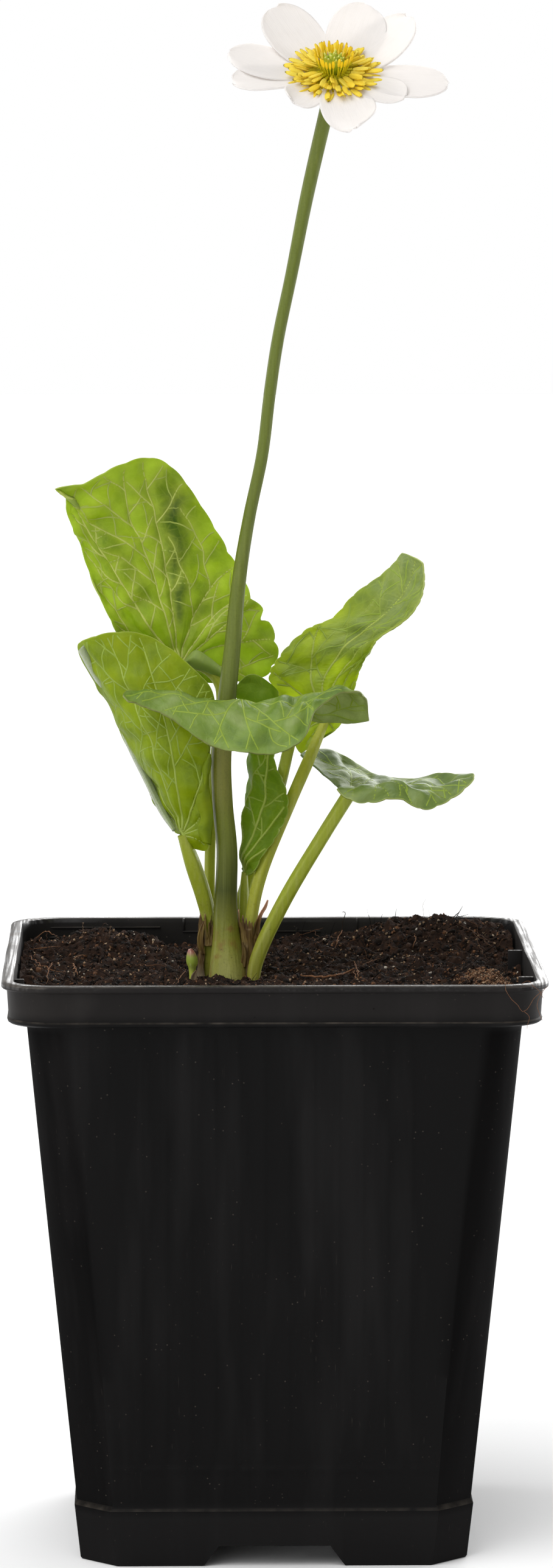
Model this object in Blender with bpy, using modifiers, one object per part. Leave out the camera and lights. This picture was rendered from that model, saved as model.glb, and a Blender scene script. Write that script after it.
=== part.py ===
"""A marsh marigold with one open white flower and six leaves, standing in its square nursery pot.

The front of the plant looks along -Y, +Z is up, and the origin is the middle of the pot's foot.
Sizes below are in millimetres; MM turns them into Blender's metres.
"""

import bmesh
import bpy
import math
import random
from mathutils import Vector

MM = 0.001

# Pot: a thin black square pot, 90 across the lip, that narrows to a base with chamfered corners.
POT_HEIGHT = 99.0
LIP_HALF = 45.0
LIP_HEIGHT = 1.3
SKIRT_HALF = 44.1
SKIRT_BOTTOM = 92.3
BODY_HALF = 41.0
BASE_HALF = 31.9
STEP_HEIGHT = 10.0
STEP_OUT = 0.4
WALL = 1.2
TOP_CORNER = 8.0
MIDDLE_HEIGHT = 50.0
MIDDLE_CORNER = 7.0
MIDDLE_CHAMFER = 0.6
BASE_CORNER = 6.0
BASE_CHAMFER = 0.95
FOOT_LIFT = 3.7
FLOOR_TOP = 5.2
FOOT_WIDTH = 6.0
NOTCH_WIDTH = 21.5
NOTCH_SLOPE = 1.5
DRAIN_RADIUS = 3.0
DRAIN_OFFSET = 15.0
DRAIN_SIDES = 12
CORNER_STEPS = 4
CLEAR = 1.0

# Soil: fills the pot to just under the lip. Each heap has its middle, its spread and its height.
GAP = 0.3
SOIL_LEVEL = 94.3
SOIL_RISE = 0.9
HEAPS = [((-28, 29), (13, 10), 3.2), ((31, 33), (15, 9), 4.6), ((34, 2), (9, 12), 0.9),
         ((-8, 0), (9, 9), -0.9)]
SOIL_CELLS = 16
SOIL_CORNER = 3.2
SOIL_FOOT_CORNER = 5.2
WELL_FLOOR = 86.0
ABOVE_SOIL = 110.0

# Flower: its disc nods towards the viewer.
FLOWER_CENTRE = (10.4, -2.0, 246.3)
FLOWER_TILT = math.radians(32)
PETAL_DISC = 2.2
PETAL_DISC_HALF = 0.4
PETAL_THICK = 0.6
PETAL_SUNK = 0.9
PETAL_COLUMNS = 5
PETAL_BOW = 0.5

# Leaves: blades with small rounded teeth.
BLADE = 0.6
TOOTH = 0.45
BLADE_ROWS = (0.2, 0.42, 0.64, 0.85, 1.0)
BAND_POINTS = 6
STALK_RINGS = 11


def vec(point):
    return Vector(point) * MM


def smooth(points, t):
    """Point at t on the smooth curve through the points, where t = 0, 1, 2 are the points."""
    last = len(points) - 1
    i = min(int(t), last - 1)
    f = t - i
    p1 = Vector(points[i])
    p2 = Vector(points[i + 1])
    p0 = Vector(points[i - 1]) if i > 0 else 2 * p1 - p2
    p3 = Vector(points[i + 2]) if i + 2 <= last else 2 * p2 - p1
    bend = (2 * p0 - 5 * p1 + 4 * p2 - p3) * f * f + (3 * p1 - p0 - 3 * p2 + p3) * f ** 3
    return 0.5 * (2 * p1 + (p2 - p0) * f + bend)


def even_steps(points, fractions, fine=8):
    """Values of t at these fractions of the length of the smooth curve."""
    count = fine * (len(points) - 1)
    places = [smooth(points, i / fine) for i in range(count + 1)]
    reach = [0.0]
    for a, b in zip(places, places[1:]):
        reach.append(reach[-1] + (b - a).length)
    steps = []
    for fraction in fractions:
        goal = fraction * reach[-1]
        i = max(j for j in range(count) if reach[j] <= goal + 1e-9)
        span = max(reach[i + 1] - reach[i], 1e-9)
        steps.append(min((i + (goal - reach[i]) / span) / fine, len(points) - 1))
    return steps


def paint(name, colour, roughness):
    material = bpy.data.materials.new(name)
    material.use_nodes = True
    shader = material.node_tree.nodes["Principled BSDF"]
    shader.inputs["Base Color"].default_value = (*colour, 1.0)
    shader.inputs["Roughness"].default_value = roughness
    return material


def add_object(name, mesh, group):
    obj = bpy.data.objects.new(name, mesh)
    group.objects.link(obj)
    return obj


def mesh_from(name, verts, faces):
    """A mesh in metres from points in millimetres, with its faces turned outwards where closed."""
    mesh = bpy.data.meshes.new(name)
    mesh.from_pydata([vec(v) for v in verts], [], faces)
    work = bmesh.new()
    work.from_mesh(mesh)
    bmesh.ops.recalc_face_normals(work, faces=work.faces)
    work.to_mesh(mesh)
    work.free()
    return mesh


def bake(obj):
    """Swaps an object with modifiers, or a curve, for a plain welded mesh object."""
    bpy.context.view_layer.update()
    graph = bpy.context.evaluated_depsgraph_get()
    mesh = bpy.data.meshes.new_from_object(obj.evaluated_get(graph))
    name = obj.name
    group = obj.users_collection[0]
    bpy.data.objects.remove(obj)
    work = bmesh.new()
    work.from_mesh(mesh)
    bmesh.ops.remove_doubles(work, verts=work.verts, dist=0.000001)
    work.to_mesh(mesh)
    work.free()
    return add_object(name, mesh, group)


def tube(name, points, radii, group, sides=8):
    """A tapering round stalk along a smooth curve through the points, with closed ends."""
    curve = bpy.data.curves.new(name, "CURVE")
    curve.dimensions = "3D"
    curve.bevel_depth = MM
    curve.bevel_resolution = sides // 2 - 2
    curve.use_fill_caps = True
    spline = curve.splines.new("POLY")
    spline.points.add(len(points) - 1)
    for place, point, radius in zip(spline.points, points, radii):
        place.co = (*vec(point), 1.0)
        place.radius = radius
    return bake(add_object(name, curve, group))


def curved_tube(name, points, radii, group, count, sides=8):
    """A tube with count rings spread evenly on the smooth curve through a few points."""
    steps = even_steps(points, [i / (count - 1) for i in range(count)])
    thick = [(r, 0, 0) for r in radii]
    return tube(name, [smooth(points, t) for t in steps],
                [smooth(thick, t).x for t in steps], group, sides)


def fuse(base, pieces):
    """Joins the pieces to the base as one closed body, and removes them."""
    group = bpy.data.collections.new(base.name + "_pieces")
    bpy.context.scene.collection.children.link(group)
    for piece in pieces:
        for holder in list(piece.users_collection):
            holder.objects.unlink(piece)
        group.objects.link(piece)
    union = base.modifiers.new("Joined", "BOOLEAN")
    union.operation = "UNION"
    union.operand_type = "COLLECTION"
    union.collection = group
    joined = bake(base)
    for piece in list(group.objects):
        bpy.data.objects.remove(piece)
    bpy.data.collections.remove(group)
    return joined


def loft(rings):
    """Points and faces of a closed body through rings of equally many points."""
    size = len(rings[0])
    verts = [point for ring in rings for point in ring]
    faces = [tuple(range(size))[::-1], tuple(range(len(verts) - size, len(verts)))]
    for low in range(0, len(verts) - size, size):
        for i in range(size):
            j = (i + 1) % size
            faces.append((low + i, low + j, low + size + j, low + size + i))
    return verts, faces


def square_ring(half, corner, z, chamfer=0.0):
    """A square outline whose corners go from round, at chamfer 0, to cut flat, at chamfer 1."""
    ring = []
    for quarter in range(4):
        turn = quarter * math.pi / 2
        for k in range(CORNER_STEPS + 1):
            share = k / CORNER_STEPS
            angle = share * math.pi / 2
            round_x = half - corner + corner * math.cos(angle)
            round_y = half - corner + corner * math.sin(angle)
            x = round_x + chamfer * (half - corner * share - round_x)
            y = round_y + chamfer * (half - corner + corner * share - round_y)
            ring.append((x * math.cos(turn) - y * math.sin(turn),
                         x * math.sin(turn) + y * math.cos(turn), z))
    return ring


def prism(name, outline, low, high, group):
    """A straight cutter over a flat outline."""
    rings = [[(p[0], p[1], z) for p in outline] for z in (low, high)]
    cutter = add_object(name, mesh_from(name, *loft(rings)), group)
    cutter.hide_render = True
    cutter.display_type = "WIRE"
    return cutter


def circle(x, y, radius, sides):
    turns = [2 * math.pi * i / sides for i in range(sides)]
    return [(x + radius * math.cos(turn), y + radius * math.sin(turn)) for turn in turns]


def cut(obj, cutter):
    hole = obj.modifiers.new("Cut", "BOOLEAN")
    hole.operation = "DIFFERENCE"
    hole.object = cutter


def body_half(z):
    """Half the pot's outer width at a height, below the skirt."""
    return BASE_HALF + (BODY_HALF - BASE_HALF) * z / SKIRT_BOTTOM


def make_pot():
    """The thin wall goes up the outside, over the lip and down the inside to the floor."""
    top = POT_HEIGHT - LIP_HEIGHT
    shelf = SKIRT_BOTTOM + WALL
    rings = [
        square_ring(BASE_HALF + STEP_OUT, BASE_CORNER, 0, 1),
        square_ring(body_half(STEP_HEIGHT) + STEP_OUT, BASE_CORNER, STEP_HEIGHT - 0.3, BASE_CHAMFER),
        square_ring(body_half(STEP_HEIGHT), BASE_CORNER, STEP_HEIGHT + 0.2, BASE_CHAMFER),
        square_ring(body_half(MIDDLE_HEIGHT), MIDDLE_CORNER, MIDDLE_HEIGHT, MIDDLE_CHAMFER),
        square_ring(BODY_HALF, TOP_CORNER, SKIRT_BOTTOM, 0.1),
        square_ring(SKIRT_HALF - 0.2, TOP_CORNER, SKIRT_BOTTOM, 0),
        square_ring(SKIRT_HALF, TOP_CORNER, top, 0),
        square_ring(LIP_HALF, TOP_CORNER, top, 0),
        square_ring(LIP_HALF, TOP_CORNER, POT_HEIGHT, 0),
        square_ring(SKIRT_HALF - WALL + 0.1, TOP_CORNER - WALL, POT_HEIGHT, 0),
        square_ring(SKIRT_HALF - WALL - 0.2, TOP_CORNER - WALL, shelf, 0),
        square_ring(BODY_HALF - WALL, TOP_CORNER - WALL, shelf, 0.1),
        square_ring(body_half(MIDDLE_HEIGHT) - WALL, MIDDLE_CORNER - 0.6, MIDDLE_HEIGHT, MIDDLE_CHAMFER),
        square_ring(body_half(FLOOR_TOP) - WALL, BASE_CORNER - 0.5, FLOOR_TOP, 1),
    ]
    pot = add_object("pot", mesh_from("pot", *loft(rings)), plant_parts)
    inner = BASE_HALF + STEP_OUT - FOOT_WIDTH
    recess = square_ring(inner, BASE_CORNER, 0, 1)
    cut(pot, prism("base_recess", recess, -CLEAR, FOOT_LIFT, cutters))
    for turn in (0, math.pi / 2):
        cut(pot, make_notch(turn))
    offset = DRAIN_OFFSET
    for x, y in ((0, 0), (offset, offset), (-offset, offset), (-offset, -offset), (offset, -offset)):
        ring = circle(x, y, DRAIN_RADIUS, DRAIN_SIDES)
        cut(pot, prism("drain", ring, FOOT_LIFT - CLEAR, FLOOR_TOP + CLEAR, cutters))
    return pot


def make_notch(turn):
    """A sloped slot right across the base, which leaves a foot at each corner."""
    reach = BASE_HALF + 5
    lift = FOOT_LIFT - 0.2
    low = NOTCH_WIDTH / 2 + NOTCH_SLOPE * 1.2
    high = NOTCH_WIDTH / 2 - NOTCH_SLOPE
    rings = [[(-low, y, -CLEAR), (low, y, -CLEAR), (high, y, lift), (-high, y, lift)]
             for y in (-reach, reach)]
    notch = add_object("notch", mesh_from("notch", *loft(rings)), cutters)
    notch.rotation_euler.z = turn
    notch.hide_render = True
    notch.display_type = "WIRE"
    return notch


def heap(x, y, at, spread, height):
    return height * math.exp(-((x - at[0]) / spread[0]) ** 2 - ((y - at[1]) / spread[1]) ** 2)


def soil_height(x, y):
    """The soil's surface: a slow rise to the back, the heaps, and small lumps."""
    level = SOIL_LEVEL + SOIL_RISE * max(0.0, y) / BODY_HALF
    level += sum(heap(x, y, *place) for place in HEAPS)
    lumps = 0.45 * math.sin(0.62 * x + 1.3) * math.sin(0.71 * y + 0.4)
    lumps += 0.3 * math.sin(1.3 * x + 0.5 * y) * math.cos(1.1 * y - 0.4 * x + 0.6)
    return max(level + lumps, SOIL_LEVEL)


def soil_spot(column, row, half, corner):
    """Place of a grid point inside the pot's outline, drawn in at the corners."""
    u = 2 * column / SOIL_CELLS - 1
    v = 2 * row / SOIL_CELLS - 1
    scale = half - corner * max(0.0, abs(u) + abs(v) - 1) ** 8
    return u * scale, v * scale


def make_soil():
    """A filled block under a lumpy top, with holes where the stalks stand."""
    half = SKIRT_HALF - WALL - 0.2 - GAP
    n = SOIL_CELLS
    verts = []
    for row in range(n + 1):
        for column in range(n + 1):
            x, y = soil_spot(column, row, half, SOIL_CORNER)
            verts.append((x, y, soil_height(x, y)))
    faces = []
    for row in range(n):
        for column in range(n):
            a = row * (n + 1) + column
            faces.append((a, a + 1, a + n + 2))
            faces.append((a, a + n + 2, a + n + 1))
    edge = ([(i, 0) for i in range(n)] + [(n, i) for i in range(n)]
            + [(n - i, n) for i in range(n)] + [(0, n - i) for i in range(n)])
    loop = [row * (n + 1) + column for column, row in edge]
    shelf = SKIRT_BOTTOM + WALL + GAP
    inner = BODY_HALF - WALL - 2 * GAP
    floor = body_half(FLOOR_TOP) - WALL - 2 * GAP
    levels = ((half, SOIL_CORNER, shelf), (inner, SOIL_CORNER, shelf),
              (floor, SOIL_FOOT_CORNER, FLOOR_TOP + GAP))
    for reach, corner, z in levels:
        start = len(verts)
        verts += [(*soil_spot(column, row, reach, corner), z) for column, row in edge]
        ring = list(range(start, start + len(loop)))
        for i in range(len(loop)):
            j = (i + 1) % len(loop)
            faces.append((loop[j], loop[i], ring[i], ring[j]))
        loop = ring
    faces.append(tuple(loop[::-1]))
    soil = add_object("soil", mesh_from("soil", verts, faces), plant_parts)
    outline = [smooth(CROWN_HOLE + CROWN_HOLE[:1], t / 3) for t in range(3 * len(CROWN_HOLE))]
    cut(soil, prism("crown_hole", outline, WELL_FLOOR, ABOVE_SOIL, cutters))
    ring = circle(BUD_FOOT[0], BUD_FOOT[1], BUD_HOLE, 8)
    cut(soil, prism("bud_hole", ring, WELL_FLOOR, ABOVE_SOIL, cutters))
    return soil


# The hole that the crown of stalks stands in, seen from above, and the young shoot's foot.
CROWN_HOLE = [(-8.0, -3.0, 0), (-5.5, -3.8, 0), (-3.1, -4.9, 0), (-1.3, -3.6, 0), (-1.3, -0.5, 0),
              (-1.6, 3.7, 0), (-4.6, 7.2, 0), (-8.8, 8.0, 0), (-12.7, 7.0, 0), (-14.3, 3.7, 0),
              (-14.0, 0.4, 0), (-12.2, -1.6, 0), (-10.2, -2.8, 0)]
BUD_FOOT = (-14.7, -2.4, WELL_FLOOR + GAP)
BUD_HOLE = 1.2

STEM_PATH = [(-7.9, 0, WELL_FLOOR + GAP), (-7.8, 0, 95), (-7.7, 0, 107.5), (-7.5, 0, 116),
             (-8.2, 0, 124), (-8.4, 0, 132), (-7.5, 0, 141.5), (-6.6, 0, 150), (-5.4, 0, 162),
             (-3.7, 0, 172.5), (-1.5, 0, 183), (-0.2, 0, 193.5), (1.2, 0, 202.7), (3.4, 0, 213.2),
             (6.0, 0, 226.3), (9.0, -0.1, 239.4), (9.9, -0.5, 243)]
STEM_RINGS = 36
STEM_RADII = [2.35, 2.35, 1.85, 1.75, 1.72, 1.68, 1.55, 1.4, 1.2, 1.05, 1.02, 1.02, 1.02, 1.02,
              1.12, 1.2, 1.25]


def flower_point(across, along, up):
    """A point of the flower: across to the right, along the disc to the back, up its axis."""
    c = math.cos(FLOWER_TILT)
    s = math.sin(FLOWER_TILT)
    x, y, z = FLOWER_CENTRE
    return Vector((x + across, y + along * c - up * s, z + along * s + up * c))


def round_point(angle, radius, up):
    turn = math.radians(angle)
    return flower_point(radius * math.cos(turn), radius * math.sin(turn), up)


def disc(name, radius, low, high, group, sides=14):
    rings = [[round_point(360 * i / sides, radius, up) for i in range(sides)] for up in (low, high)]
    return add_object(name, mesh_from(name, *loft(rings)), group)


def make_stem():
    """The flower's stalk, with its top spread to carry the bloom."""
    seat = -PETAL_DISC_HALF - GAP
    steps = even_steps(STEM_PATH, [i / (STEM_RINGS - 1) for i in range(STEM_RINGS)])
    thick = [(r, 0, 0) for r in STEM_RADII]
    points = [smooth(STEM_PATH, t) for t in steps]
    radii = [smooth(thick, t).x for t in steps]
    points += [flower_point(0, 0, seat - 1.2), flower_point(0, 0, seat)]
    return tube("flower_stem", points, radii + [1.35, 1.4], plant_parts)


# Petals: angle round the flower, length, width, rise of the tip, turn about its own middle line.
PETALS = [
    (124, 17.4, 10.2, 4.3, 0.0),
    (67, 15.8, 10.2, 4.8, 0.1),
    (40, 16.6, 10.0, 4.9, -0.15),
    (-9, 19.2, 9.4, 0.3, 0.1),
    (-31, 13.6, 6.4, 0.2, 0.3),
    (-78, 15.2, 9.4, -0.8, 0.1),
    (-128, 11.2, 6.6, 0.2, -0.4),
    (187, 17.0, 6.8, 0.5, -0.1),
    (165, 18.0, 9.2, 1.7, 0.0),
]
PETAL_ROWS = [(0.0, 0.30), (0.22, 0.56), (0.45, 0.86), (0.66, 1.0), (0.83, 0.9), (0.94, 0.64),
              (1.0, 0.34)]


def make_petal(number, angle, length, width, rise, twist, group):
    """One thin cupped petal, from inside the central disc out to its round tip."""
    turn = math.radians(angle)
    root = PETAL_DISC - PETAL_SUNK
    columns = PETAL_COLUMNS
    verts = []
    for share, spread in PETAL_ROWS:
        reach = root + (length - root) * share
        for k in range(columns):
            t = 2 * k / (columns - 1) - 1
            side = t * spread * width / 2
            bow = PETAL_BOW * spread * share * t * t
            up = rise * share ** 2 + bow + twist * side * share ** 3
            up += 0.08 * math.sin(3.1 * number) * (1 - share)
            verts.append(flower_point(reach * math.cos(turn) - side * math.sin(turn),
                                      reach * math.sin(turn) + side * math.cos(turn), up))
    faces = []
    for row in range(len(PETAL_ROWS) - 1):
        for k in range(columns - 1):
            a = row * columns + k
            faces.append((a, a + 1, a + columns + 1))
            faces.append((a, a + columns + 1, a + columns))
    return thicken(add_object("petal", mesh_from("petal", verts, faces), group), PETAL_THICK)


def thicken(obj, thick):
    wall = obj.modifiers.new("Thickness", "SOLIDIFY")
    wall.thickness = thick * MM
    wall.offset = 0
    return bake(obj)


def make_petals():
    base = disc("petals", PETAL_DISC, -PETAL_DISC_HALF, PETAL_DISC_HALF, plant_parts)
    return fuse(base, [make_petal(i, *petal, plant_parts) for i, petal in enumerate(PETALS)])


OUTER_STAMENS = 32
INNER_STAMENS = 12
STAMEN_DISC = 2.3
STAMEN_LOW = PETAL_DISC_HALF + GAP
STAMEN_HIGH = STAMEN_LOW + 0.7
OUTER_REACH = (7.6, 8.6)
OUTER_RISE = 1.6
OUTER_DROOP = 0.35
LAYER_RISE = 1.1
INNER_HEIGHT = (3.6, 4.3)


def make_stamens():
    """Two spreading layers of stamens and an upright inner ring, rooted in one small disc."""
    draw = random.Random(4)
    base = disc("stamens", STAMEN_DISC, STAMEN_LOW, STAMEN_HIGH, plant_parts, 16)
    pieces = []
    for i in range(OUTER_STAMENS):
        angle = 360 * i / OUTER_STAMENS + draw.uniform(-3, 3)
        upper = i % 2
        reach = draw.uniform(*OUTER_REACH) - 0.6 * upper
        droop = OUTER_DROOP * math.sin(math.radians(angle))
        rise = OUTER_RISE + droop + LAYER_RISE * upper + draw.uniform(-0.1, 0.1)
        path = [round_point(angle, 1.3, STAMEN_LOW + 0.35), round_point(angle, 0.6 * reach, rise - 0.1),
                round_point(angle, 0.85 * reach, rise), round_point(angle, reach, rise + 0.1)]
        pieces.append(tube("stamen", path, [0.25, 0.38, 0.4, 0.16], plant_parts, 6))
    for i in range(INNER_STAMENS):
        angle = 360 * i / INNER_STAMENS + draw.uniform(-4, 4)
        tall = draw.uniform(*INNER_HEIGHT)
        path = [round_point(angle, 2.0, STAMEN_LOW + 0.3), round_point(angle, 2.5, tall - 0.8),
                round_point(angle, 2.55, tall)]
        pieces.append(tube("stamen", path, [0.24, 0.34, 0.16], plant_parts, 4))
    return fuse(base, pieces)


RING_PODS = 8
POD_HEIGHT = 5.2


def make_carpels():
    """A tuft of small green pods in the middle of the flower: a ring, and one in its middle."""
    low = STAMEN_HIGH + GAP
    base = disc("carpels", 1.35, low, low + 0.6, plant_parts, 10)
    pieces = []
    for i in range(RING_PODS + 1):
        angle = 360 * i / RING_PODS
        out = 0.0 if i == RING_PODS else 0.85
        tall = POD_HEIGHT + 0.3 * math.sin(2.4 * i)
        path = [round_point(angle, 0.8 * out, low + 0.3), round_point(angle, out, 3.4),
                round_point(angle, 1.05 * out, 4.5), round_point(angle, 1.15 * out, tall)]
        pieces.append(tube("pod", path, [0.4, 0.48, 0.4, 0.15], plant_parts, 6))
    return fuse(base, pieces)


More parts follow.
